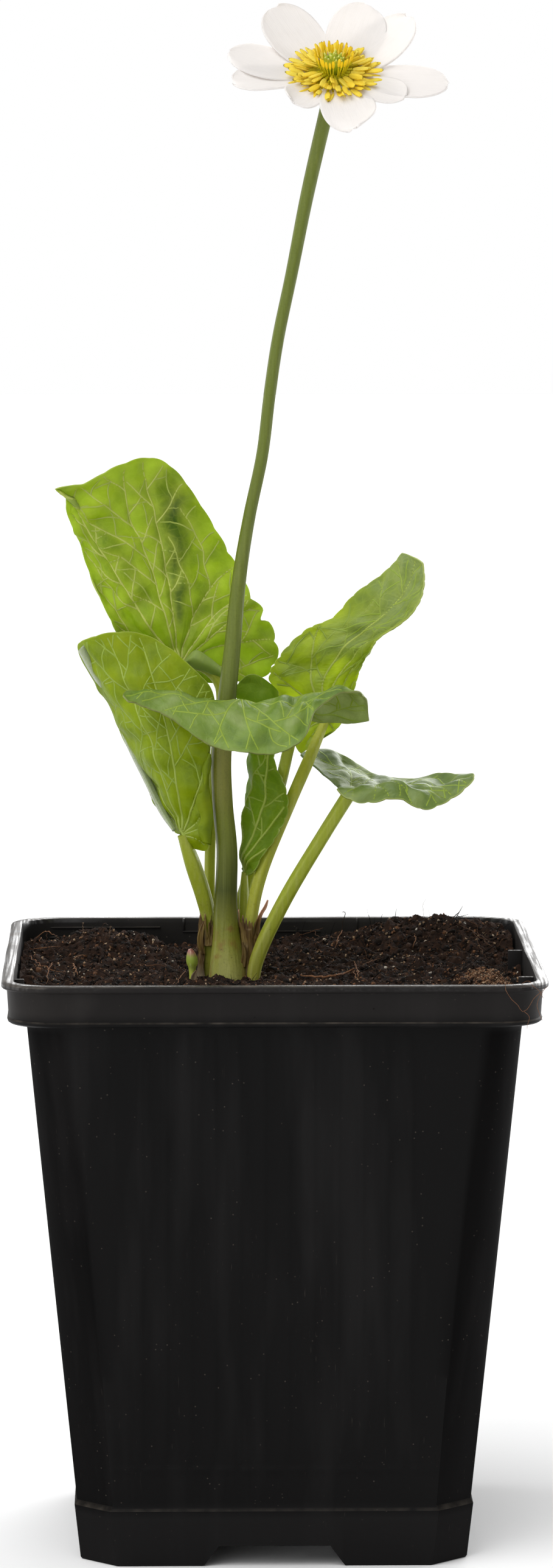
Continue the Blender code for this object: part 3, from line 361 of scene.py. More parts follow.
# Heights of the wall's level lines, closest where the ribs and the dashes under them begin and end.
heights = np.concatenate([WALL_KEYS[:-2, 0], [11, 13, 15, 16.1, DASH_LOW, DASH_HIGH, 17.1, RIB_LOW],
                          [RIB_LOW + 0.5], np.arange(21, 89, 4), [RIB_HIGH - 0.6, RIB_HIGH, 91, 91.9]])
rows = []
for z in heights:
    half, corner, chamfer = [np.interp(z, WALL_KEYS[:, 0], WALL_KEYS[:, k]) for k in (1, 2, 3)]
    rib = RIB_HEIGHT if RIB_LOW < z < RIB_HIGH else 0.0
    dash = 0.7 * RIB_HEIGHT if DASH_LOW <= z <= DASH_HIGH else 0.0
    rows.append(wall_row(half, corner, chamfer, z, rib, dash))
INNER = SKIRT_HALF - WALL
# Half width, corner and height of the lines round the skirt and over the lip to its inner ledge.
LIP_ROWS = [(SKIRT_HALF - 0.5, 8.0, SKIRT_BOTTOM - 0.3), (SKIRT_HALF - 0.15, 8.0, SKIRT_BOTTOM),
            (SKIRT_HALF - 0.05, 8.0, SKIRT_BOTTOM + 0.4), (SKIRT_HALF - 0.3, 8.0, 92.95),
            (SKIRT_HALF - 0.25, 8.0, 93.4), (SKIRT_HALF, 8.0, 97.3), (SKIRT_HALF + 0.15, 8.0, 97.7),
            (LIP_HALF - 0.25, 8.0, 97.8), (LIP_HALF, 8.0, 98.05), (LIP_HALF, 8.0, 98.6),
            (LIP_HALF - 0.2, 8.0, 98.9), (LIP_HALF - 0.5, 7.8, POT_TOP), (INNER + 0.5, 7.0, POT_TOP),
            (INNER + 0.2, 6.9, 98.85), (INNER + 0.1, 6.8, 98.5), (INNER, 6.8, 96.0),
            (INNER - 0.2, 6.8, SKIRT_BOTTOM + WALL)]
rows += [wall_row(half, corner, 0.0, z) for half, corner, z in LIP_ROWS]
# The inner wall, down to the floor.
rows += [wall_row(BODY_HALF - WALL, 6.8, 0.1, SKIRT_BOTTOM + WALL),
         wall_row(body_half(MIDDLE_HEIGHT) - WALL, 6.4, 0.6, MIDDLE_HEIGHT),
         wall_row(body_half(FLOOR_TOP) - WALL, 5.5, 1.0, FLOOR_TOP)]
size = len(rows[0])
faces = [face[::-1] for face in grid_faces(len(rows), size, closed=True)]
faces += [tuple(range(size))[::-1], tuple(range(size * (len(rows) - 1), size * len(rows)))]

black_plastic, bench = new_paint("black_plastic")
spot = bench.place()
x, y, z = bench.parts(spot)
cloud = bench.noise(spot, 26.0, 3.0)
streak = bench.noise(spot, 7.0, 3.0, stretch=(1.0, 1.0, 0.08))
grain = bench.noise(spot, 0.35, 2.0)
speck = past(bench.cells(spot, 1.5), 0.1, -20) * past(bench.noise(spot, 9.0), 0.42, 6)
scratch = past(bench.noise(spot, 1.1, 2.0, stretch=(3.0, 3.0, 0.1)), 0.7, 16) * past(cloud, 0.5, 6)
sideways, _, upwards = bench.parts(bench.add("ShaderNodeNewGeometry", {}, "Normal"))
# Up-facing faces get pale dust that settles there, and also painted light that lightens the lip and other
# tops.
dust_and_painted_light = past(upwards, 0.35, 2.2) * clamp(0.35 + (bench.noise(spot, 2.4, 4.0) - 0.5) * 1.6)
# The lip is glossier where it has been handled, in short worn stretches, and less so in front.
rim = past(z, GLOSS_LOW, 4) * clamp(0.75 + (streak - 0.5) * 2 + (grain - 0.5))
rim = rim * (1.0 - past(y, GLOSS_FRONT, -2) * clamp(0.85 - (grain - 0.5) * 2))
across = maths("MAXIMUM", maths("ABSOLUTE", x), maths("ABSOLUTE", y))
worn = bench.noise(bench.join(across * 12, (x + y) * 0.2), 5.0, 1.0)
rim = rim * clamp(0.15 + past(worn, 0.45, 6))
# The skirt is painted lighter than the body below it: painted light.
skirt = past(z, SKIRT_BOTTOM, 0.5)
colour = bench.coats(
    bench.blend(cloud, (5, 5, 5), (11, 10, 10)),
    (past(streak, 0.48, 5) * 0.45, (28, 27, 27)),
    (skirt * 0.35, (44, 41, 40)),
    (skirt * past(cloud, 0.5, 5) * 0.3, (66, 63, 60)),
    (speck * 0.3 + scratch * 0.15, (104, 96, 88)),
    (dust_and_painted_light * 0.5, (112, 104, 94)),
    # The foot below the step is painted lighter: painted light.
    (past(z, PAINTED_LIGHT_BELOW, -0.8) * 0.6, (24, 23, 23)))
slant = clamp(maths("ABSOLUTE", sideways) * 4 - 0.6) * past(z, SKIRT_BOTTOM, -0.5)
rough = clamp(0.42 + streak * 0.16 + speck * 0.3 + dust_and_painted_light * 0.2 - rim * 0.1 + slant * 0.5)
finish_paint(bench, colour, rough, shine=0.08, height=grain * 0.2 + streak * 0.5 + scratch * 0.3,
             depth=0.05, coat={"Coat Weight": rim, "Coat Roughness": 0.22})


def prism(name, outline, low, high):
    """A straight block over a flat outline."""
    count = len(outline)
    points = [(x, y, z) for z in (low, high) for x, y in outline]
    sides = [(i, (i + 1) % count, count + (i + 1) % count, count + i) for i in range(count)]
    return mesh_of(name, points, [tuple(range(count))[::-1], tuple(range(count, 2 * count))] + sides)


def circle(x, y, radius, sides):
    """A flat outline round a place."""
    turns = [2 * math.pi * i / sides for i in range(sides)]
    return [(x + radius * math.cos(turn), y + radius * math.sin(turn)) for turn in turns]


def make_pot():
    """The lofted walls, with the base, its notches and its drain holes cut as the mould does."""
    pot = stand_in("pot_walls", mesh_of("pot_walls", np.concatenate(rows), faces, black_plastic))
    recess = wall_row(BASE_HALF + STEP_OUT - FOOT_WIDTH, BASE_CORNER, 1.0, 0.0)
    corners = recess[np.concatenate([[k * size // 4 + len(side_places),
                                      (k + 1) * size // 4 - 1] for k in range(4)])]
    cutters = [prism("recess", [(p[0], p[1]) for p in corners], -CLEAR, FOOT_LIFT)]
    for across in (0, 1):
        points = []
        for y in (-NOTCH_REACH, NOTCH_REACH):
            points += [(-NOTCH_LOW, y, -CLEAR), (NOTCH_LOW, y, -CLEAR), (NOTCH_HIGH, y, NOTCH_TOP),
                       (-NOTCH_HIGH, y, NOTCH_TOP)]
        if across:
            points = [(-y, x, z) for x, y, z in points]
        sides = [(3, 2, 1, 0), (4, 5, 6, 7)]
        sides += [(i, (i + 1) % 4, 4 + (i + 1) % 4, 4 + i) for i in range(4)]
        cutters.append(mesh_of("notch", points, [face[::-1] for face in sides]))
    for x, y in DRAINS:
        hole = circle(x, y, DRAIN_RADIUS, DRAIN_SIDES)
        cutters.append(prism("drain", hole, FOOT_LIFT - CLEAR, FLOOR_TOP + CLEAR))
    tools = [stand_in("cutter", mesh) for mesh in cutters]
    for tool in tools:
        cut = pot.modifiers.new("Cut", "BOOLEAN")
        cut.operation = "DIFFERENCE"
        cut.object = tool
    mesh = shaped(pot)
    for tool in tools:
        bpy.data.objects.remove(tool)
    return settle(mesh)


def slab(low, high):
    """A small moulded bar with softened edges, between two corners."""
    work = bmesh.new()
    bmesh.ops.create_cube(work, size=1.0)
    for vert in work.verts:
        vert.co = [(a + (b - a) * (c + 0.5)) * MM for a, b, c in zip(low, high, vert.co)]
    bmesh.ops.bevel(work, geom=work.edges[:], offset=SLAB_SOFT * MM, segments=2, affect="EDGES",
                    profile=0.5)
    mesh = bpy.data.meshes.new("slab")
    work.to_mesh(mesh)
    work.free()
    mesh.materials.append(black_plastic)
    return settle(mesh)


# Plain clips on the side walls, and ledges and a bare raised panel's edges on the back wall: two
# opposite corners of each.
BACK = INNER + 0.15
CLIP_LOW = 92.6
DETAILS = [((BACK - 2.6, 4.6, CLIP_LOW), (BACK + 0.3, 5.4, 98.2)),
           ((BACK - 2.6, -28.4, CLIP_LOW), (BACK + 0.3, -27.6, 98.2)),
           ((-BACK - 0.3, -28.4, CLIP_LOW), (-BACK + 1.7, -27.6, 98.0)),
           ((-38.9, BACK - 0.55, 97.15), (-18.8, BACK + 0.3, 97.45)),
           ((-39.0, BACK - 0.7, 95.45), (-21.0, BACK + 0.3, 95.75)),
           ((-14.9, BACK - 0.45, 96.7), (-14.5, BACK + 0.3, 98.9)),
           ((-14.9, BACK - 0.45, 96.4), (9.4, BACK + 0.3, 96.7)),
           ((15.6, BACK - 0.45, 96.4), (16.0, BACK + 0.3, 98.9)),
           ((5.0, BACK - 0.5, 95.6), (5.4, BACK + 0.3, 97.2))]
pot = piece("nursery_pot", make_pot(), *[slab(low, high) for low, high in DETAILS])
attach(pot, "root")
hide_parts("pot")

# Peat: dark, damp and fibrous, it fills the pot to just under the lip and is heaped at the back.
# Its top is crumbled, with grit, shreds and tan root fibres that lie on it loosely.
SOIL_LEVEL = 94.3
SOIL_RISE = 0.9
# Middle, reach both ways, and height of each heap and each hollow.
HEAPS = [((-28, 29), (13, 10), 3.2), ((31, 33), (15, 9), 4.6), ((34, 2), (9, 12), 0.9),
         ((-8, 0), (9, 9), -0.9), ((25, 42), (8, 4), 2.0), ((37, 42), (3, 3), 1.3),
         ((-8.4, -4.6), (1.1, 0.8), 1.4), ((36, -20), (6, 12), 2.2), ((-44, -2), (5, 27), 2.6)]
DIPS = [((-13, 36), (9, 11), -2.0), ((-39, 38), (5, 9), -1.2)]
SOIL_CELLS = 230
SOIL_CORNER = 3.2
SOIL_GAP = 0.3
SOIL_HALF = INNER - 0.2 - SOIL_GAP
# Length and height of the small lumps.
LUMPS = [(7.0, 0.42), (3.2, 0.3), (1.5, 0.22), (0.8, 0.14)]
CRUMBS = 6200
CLODS = 325
GRAINS = 21000
SHREDS = 2600
SPECKS = 900
PATCH_GRAINS = 189000
SHEET_LINES = 70
STONE_FLAT = 0.7
SHRED_RADII = np.array([0.006, 0.012, 0.015, 0.014, 0.012, 0.005])
SHRED_BEND = 0.03
RAGGED = 0.5
CURVE_FINENESS = 24


def heaped(level, x, y, heaps):
    """The level with rounded heaps or hollows added."""
    for (at_x, at_y), (reach_x, reach_y), tall in heaps:
        level = level + tall * np.exp(-((x - at_x) / reach_x) ** 2 - ((y - at_y) / reach_y) ** 2)
    return level


def soil_height(x, y):
    """The peat's surface: a slow rise to the back, the heaps, and lumps of several sizes."""
    level = SOIL_LEVEL + SOIL_RISE * np.maximum(0.0, y) / BODY_HALF
    level = heaped(level, x, y, HEAPS)
    lumps = 0.45 * np.sin(0.62 * x + 1.3) * np.sin(0.71 * y + 0.4)
    lumps = lumps + 0.3 * np.sin(1.3 * x + 0.5 * y) * np.cos(1.1 * y - 0.4 * x + 0.6)
    level = heaped(np.maximum(level + lumps, SOIL_LEVEL), x, y, DIPS)
    spots = np.stack([x, y], axis=-1)
    for seed, (length, tall) in enumerate(LUMPS):
        level = level + tall * ripple(spots, length, seed)
    return level


def soil_spots(half, corner):
    """Grid of places inside the pot's outline, drawn in at the corners."""
    run = np.linspace(-1, 1, SOIL_CELLS + 1)
    u, v = np.meshgrid(run, run, indexing="ij")
    scale = half - corner * np.maximum(0.0, np.abs(u) + np.abs(v) - 1) ** 8
    return u * scale, v * scale


def edge_of(values):
    """The values along a grid's edge, once round."""
    return np.concatenate([values[:-1, 0], values[-1, :-1], values[:0:-1, -1], values[0, :0:-1]])


def make_soil():
    """The crumbled top, and the block of peat under it down to the pot's floor."""
    x, y = soil_spots(SOIL_HALF, SOIL_CORNER)
    top = np.stack([x, y, soil_height(x, y)], axis=-1).reshape(-1, 3)
    lines = SOIL_CELLS + 1
    faces = grid_faces(lines, lines)
    loop = edge_of(np.arange(lines * lines).reshape(lines, lines))
    points = [top]
    shelf = SKIRT_BOTTOM + WALL + SOIL_GAP
    floor = body_half(FLOOR_TOP) - WALL - 2 * SOIL_GAP
    levels = ((SOIL_HALF, SOIL_CORNER, shelf), (BODY_HALF - WALL - 2 * SOIL_GAP, SOIL_CORNER, shelf),
              (floor, 5.2, FLOOR_TOP + SOIL_GAP))
    count = len(top)
    for half, corner, z in levels:
        x, y = [edge_of(values) for values in soil_spots(half, corner)]
        points.append(np.column_stack([x, y, np.full(len(x), z)]))
        ring = np.arange(count, count + len(x))
        count += len(x)
        faces += np.column_stack([np.roll(loop, -1), loop, ring, np.roll(ring, -1)]).tolist()
        loop = ring
    faces.append(loop[::-1].tolist())
    return settle(mesh_of("soil_block", np.concatenate(points), faces, peat), angle=60)


peat, bench = new_paint("peat")
spot = bench.place()
cloud = bench.noise(spot, 11.0, 4.0)
crumb = bench.noise(spot, 1.6, 6.0, rough=0.65)
thread = bench.noise(spot, 1.1, 3.0, stretch=(1.0, 0.25, 1.0))
colour = bench.coats(
    bench.blend(clamp(crumb * 2.4 - 0.7), (14, 10, 8), (60, 43, 34)),
    (past(cloud, 0.5, 3) * 0.5, (28, 19, 15)),
    (past(thread, 0.64, 9) * 0.45, (104, 70, 48)))
finish_paint(bench, colour, 0.95, shine=0.1, height=crumb, depth=0.9)

# One paint for all that lies on the peat: its tone, from 0 to 1, goes from black to pale grit.
litter, bench = new_paint("litter")
grain = bench.noise(bench.place(), 0.35, 4.0)
colour = bench.ramp(bench.attribute("tone"), (0.0, (14, 11, 9)), (0.4, (36, 27, 22)),
                    (0.62, (66, 48, 37)), (0.8, (132, 92, 64)), (0.92, (170, 146, 118)),
                    (1.0, (226, 220, 208)))
colour = bench.coats(colour, (past(grain, 0.4, 3) * 0.55, (26, 18, 14)))
finish_paint(bench, colour, 0.9, shine=0.15, height=grain, depth=0.3)

soil = piece("peat_block", make_soil())
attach(soil, "root")
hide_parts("soil")

SOCKETS = {"Geometry": "NodeSocketGeometry", "Material": "NodeSocketMaterial",
           "Parts": "NodeSocketCollection", "Part": "NodeSocketObject", "Seed": "NodeSocketInt",
           "Sides": "NodeSocketInt", "Ribs": "NodeSocketInt"}


def new_tree(name, *inputs):
    """An empty shape tree, its bench, and a wire for each named input."""
    tree = bpy.data.node_groups.new(name, "GeometryNodeTree")
    tree.interface.new_socket("Geometry", in_out="OUTPUT", socket_type=SOCKETS["Geometry"])
    for label in inputs:
        kind = SOCKETS.get(label, "NodeSocketFloat")
        tree.interface.new_socket(label, in_out="INPUT", socket_type=kind)
    bench = Bench(tree)
    source = tree.nodes.new("NodeGroupInput")
    return tree, bench, {label: Wire(bench, source.outputs[label]) for label in inputs}


def close_tree(bench, shape, material):
    """Ends a shape tree with plain faces of one material."""
    shape = bench.add("GeometryNodeRealizeInstances", {"Geometry": shape})
    shape = bench.add("GeometryNodeSetMaterial", {"Geometry": shape, "Material": material})
    sink = bench.tree.nodes.new("NodeGroupOutput")
    bench.tree.links.new(shape.socket, sink.inputs["Geometry"])


def grow(tree, obj, **values):
    """Runs a shape tree on an object, which is removed, and gives the plain mesh."""
    run = obj.modifiers.new("Shape", "NODES")
    run.node_group = tree
    for item in tree.interface.items_tree:
        label = item.name.replace(" ", "_")
        if item.in_out == "INPUT" and label in values:
            run[item.identifier] = values[label]
    mesh = shaped(obj)
    mesh.shade_smooth()
    return mesh


def lot(bench, given, shift, low, high, power):
    """A number for each copy between two inputs. A high power makes numbers near the second rare."""
    sockets = {2: 0.0, 3: 1.0, "Seed": given["Seed"] + shift}
    share = bench.add("FunctionNodeRandomValue", sockets, 1, data_type="FLOAT")
    return given[low] + (given[high] - given[low]) * share ** power


# Shape tree: copies of a few parts, strewn over a surface, each turned and sized at random.
scatter, bench, given = new_tree("strewn_on_surface", "Geometry", "Parts", "Density", "Seed", "Tumble",
                                 "Smallest", "Largest", "Sink", "Darkest", "Palest", "Material")
points = bench.add("GeometryNodeDistributePointsOnFaces", {
    "Mesh": given["Geometry"], "Density": given["Density"], "Seed": given["Seed"]})
upright = Wire(bench, points.socket.node.outputs["Rotation"])
spin = bench.add("FunctionNodeRandomValue", {
    0: (-1.0, -1.0, -math.pi), 1: (1.0, 1.0, math.pi), "Seed": given["Seed"] + 1},
    data_type="FLOAT_VECTOR")
x, y, z = bench.parts(spin)
lean = bench.join(x * given["Tumble"], y * given["Tumble"], z)
lean = bench.add("FunctionNodeEulerToRotation", {0: lean})
turn = bench.add("FunctionNodeRotateRotation", {0: upright, 1: lean}, rotation_space="LOCAL")
size_of = lot(bench, given, 2, "Smallest", "Largest", 3.0)
down = bench.join(0.0, 0.0, 0.0 - size_of * given["Sink"])
points = bench.add("GeometryNodeSetPosition", {"Geometry": points, "Offset": down})
parts = bench.add("GeometryNodeCollectionInfo", {
    "Collection": given["Parts"], "Separate Children": True, "Reset Children": True})
copies = bench.add("GeometryNodeInstanceOnPoints", {
    "Points": points, "Instance": parts, "Pick Instance": True, "Rotation": turn, "Scale": size_of})
copies = bench.add("GeometryNodeStoreNamedAttribute", {
    "Geometry": copies, "Name": "tone", "Value": lot(bench, given, 3, "Darkest", "Palest", 1.6)},
    data_type="FLOAT", domain="INSTANCE")
close_tree(bench, copies, given["Material"])

# Shape tree: a round skin along each path, as thick as the path's "thick" says, ribbed if asked.
along_path, bench, given = new_tree("skin_along_path", "Geometry", "Sides", "Ribs", "Rib Depth",
                                    "Material")
path = bench.add("GeometryNodeMeshToCurve", {"Mesh": given["Geometry"]})
beside = bench.known("beside")
told = bench.add("ShaderNodeVectorMath", {0: beside}, "Value", operation="LENGTH")
path = bench.add("GeometryNodeSetCurveNormal", {
    "Curve": path, "Selection": told, "Normal": beside}, mode="FREE")
ring = bench.add("GeometryNodeCurvePrimitiveCircle", {"Resolution": given["Sides"], "Radius": 1.0})
x, y, z = bench.parts(bench.add("GeometryNodeInputPosition", {}))
swell = maths("COSINE", maths("ARCTAN2", y, x) * given["Ribs"]) * given["Rib Depth"]
ring = bench.add("GeometryNodeSetPosition", {
    "Geometry": ring, "Offset": bench.join(x * swell, y * swell)})
skin = bench.add("GeometryNodeCurveToMesh", {
    "Curve": path, "Profile Curve": ring, "Scale": bench.known("thick", "FLOAT"), "Fill Caps": True})
close_tree(bench, skin, given["Material"])


def smooth_at(points, steps):
    """Places on the smooth curve through the points, where step 0, 1, 2 are the points."""
    points = np.asarray(points, float)
    last = len(points) - 1
    steps = np.clip(steps, 0, last)
    i = np.minimum(steps.astype(int), last - 1)
    f = (steps - i).reshape(-1, *([1] * (points.ndim - 1)))
    ends = np.concatenate([2 * points[:1] - points[1:2], points, 2 * points[-1:] - points[-2:-1]])
    p0, p1, p2, p3 = [ends[i + k] for k in range(4)]
    bend = (2 * p0 - 5 * p1 + 4 * p2 - p3) * f ** 2 + (3 * p1 - p0 - 3 * p2 + p3) * f ** 3
    return 0.5 * (2 * p1 + (p2 - p0) * f + bend)


def run_along(places):
    """How far along a path each of its places is."""
    return np.concatenate([[0.0], np.cumsum(np.linalg.norm(np.diff(places, axis=0), axis=1))])


def even_steps(points, shares):
    """Steps at these shares of the smooth curve's length."""
    steps = np.linspace(0, len(points) - 1, CURVE_FINENESS * (len(points) - 1) + 1)
    reach = run_along(smooth_at(points, steps))
    return np.interp(np.asarray(shares) * reach[-1], reach, steps)


def strand(points, radii, count):
    """A path of this many points with its radii, evenly along the smooth curve through a few."""
    steps = even_steps(points, np.linspace(0, 1, count))
    return smooth_at(points, steps), smooth_at(np.asarray(radii, float)[:, None], steps)[:, 0]


def skin_paths(name, strands, count, material, ribs=0, depth=0.0, tone=None, sides=None):
    """A mesh of skins along paths. "sides" are the ways that point beside each path's points."""
    points, thick, along, edges, tones = [], [], [], [], []
    for number, (path, radii) in enumerate(strands):
        first = len(points)
        points += list(path)
        thick += list(np.maximum(radii, 0.001) * MM)
        along += list(np.linspace(0, 1, len(path)))
        tones += [tone[number] if tone is not None else 0.0] * len(path)
        edges += [(first + i, first + i + 1) for i in range(len(path) - 1)]
    mesh = mesh_of(name, points, [], edges=edges)
    keep_fact(mesh, "thick", thick)
    keep_fact(mesh, "along", along)
    keep_fact(mesh, "tone", tones)
    if sides:
        beside = np.concatenate(sides)
        keep_fact(mesh, "beside", beside / np.linalg.norm(beside, axis=1, keepdims=True))
    return grow(along_path, stand_in(name, mesh), Sides=count, Ribs=ribs, Rib_Depth=depth,
                Material=material)


def rough_stone(seed, detail):
    """A small uneven lump, one unit across, for copies."""
    work = bmesh.new()
    bmesh.ops.create_icosphere(work, subdivisions=detail, radius=0.5)
    mesh = bpy.data.meshes.new("lump")
    work.to_mesh(mesh)
    work.free()
    places = np.array([vert.co[:] for vert in mesh.vertices])
    places = places * (1 + 0.45 * ripple(places, 0.7, seed)[:, None]) * np.array([1.0, 0.8, STONE_FLAT])
    mesh.vertices.foreach_set("co", places.ravel())
    return mesh


def shred(seed):
    """A short bent bit of fibre, one unit long, for copies."""
    draw = np.random.default_rng(seed)
    count = len(SHRED_RADII)
    bends = np.cumsum(np.cumsum(draw.normal(0, SHRED_BEND, (count, 2)), axis=0), axis=0)
    path = np.column_stack([np.linspace(-0.5, 0.5, count), bends - bends.mean(axis=0)])
    return skin_paths("shred", [(path / MM, SHRED_RADII / MM)], 3, litter)


def peat_grain(seed):
    """The smallest bit of peat, one unit across: eight uneven faces."""
    draw = np.random.default_rng(seed)
    ways = np.concatenate([np.eye(3), -np.eye(3)]) * draw.uniform(0.25, 0.55, 6)[:, None]
    ways = ways + draw.normal(0, 0.08, (6, 3))
    faces = [(0, 1, 2), (1, 3, 2), (3, 4, 2), (4, 0, 2), (1, 0, 5), (3, 1, 5), (4, 3, 5), (0, 4, 5)]
    return mesh_of("grain", ways / MM, faces)


def parts_for(name, meshes):
    """A collection of parts for the scatter tree, outside the scene."""
    group = bpy.data.collections.new(name)
    for mesh in meshes:
        group.objects.link(bpy.data.objects.new(name, mesh))
    return group


def top_sheet(low_x, high_x, low_y, high_y):
    """A sheet over part of the peat for things to be strewn on; a small one is a ragged patch."""
    x, y = np.meshgrid(np.linspace(low_x, high_x, SHEET_LINES), np.linspace(low_y, high_y, SHEET_LINES),
                       indexing="ij")
    inside = 1 - 0.05 * np.maximum(0, (np.abs(x) + np.abs(y)) / SOIL_HALF - 1) ** 4
    x, y = x * inside, y * inside
    points = np.stack([x, y, soil_height(x, y)], axis=-1).reshape(-1, 3)
    faces = np.array(grid_faces(SHEET_LINES, SHEET_LINES))
    if high_x - low_x < SOIL_HALF:
        middle = np.array([(low_x + high_x) / 2, (low_y + high_y) / 2])
        reach = np.array([(high_x - low_x) / 2, (high_y - low_y) / 2])
        spot = points[faces][:, :, :2].mean(axis=1)
        far = np.linalg.norm((spot - middle) / reach, axis=1)
        faces = faces[far + RAGGED * ripple(spot, 3.5, 8) < 0.95]
    return stand_in("sheet", mesh_of("sheet", points, faces.tolist()))


crumbs = parts_for("crumb", [rough_stone(seed, 1) for seed in range(5)])
clods = parts_for("clod", [rough_stone(seed + 9, 2) for seed in range(5)])
grains = parts_for("grain", [peat_grain(seed) for seed in range(6)])
shreds = parts_for("shred", [shred(seed) for seed in range(9)])
area = (2 * SOIL_HALF * MM) ** 2
STREWN = SOIL_HALF - 0.8
WHOLE_TOP = (-STREWN, STREWN, -STREWN, STREWN)


def strew(parts, count, seed, tumble, sizes, sink, tones, spread=WHOLE_TOP):
    """Things strewn on the peat. Counts are for the whole top, and tones run from dark to pale."""
    return grow(scatter, top_sheet(*spread), Parts=parts, Density=count / area, Seed=seed, Tumble=tumble,
                Smallest=sizes[0] * MM, Largest=sizes[1] * MM, Sink=sink, Darkest=tones[0],
                Palest=tones[1], Material=litter)


peat_pieces = [
    piece("peat_crumbs",
          strew(crumbs, CRUMBS, seed=3, tumble=1.5, sizes=(0.25, 1.3), sink=0.0, tones=(0.0, 0.74)),
          strew(clods, CLODS, seed=11, tumble=1.0, sizes=(0.7, 2.6), sink=0.15, tones=(0.0, 0.42))),
    piece("peat_grains",
          strew(grains, GRAINS, seed=5, tumble=1.5, sizes=(0.16, 0.9), sink=-0.15, tones=(0.1, 0.94))),
    piece("peat_shreds",
          strew(shreds, SHREDS, seed=21, tumble=0.35, sizes=(1.0, 6.5), sink=-0.03, tones=(0.3, 0.94)),
          strew(grains, SPECKS, seed=47, tumble=1.5, sizes=(0.2, 0.9), sink=-0.25, tones=(0.86, 1.0))),
    piece("peat_patch",
          strew(grains, PATCH_GRAINS, seed=31, tumble=1.5, sizes=(0.2, 0.6), sink=-0.2,
                tones=(0.68, 0.93), spread=(31, 41.5, -38, -2)),
          strew(grains, GRAINS, seed=33, tumble=1.5, sizes=(0.2, 0.7), sink=-0.2,
                tones=(0.6, 0.98), spread=(-40, 42, -42, -32)))]
for part in peat_pieces:
    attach(part, "root")

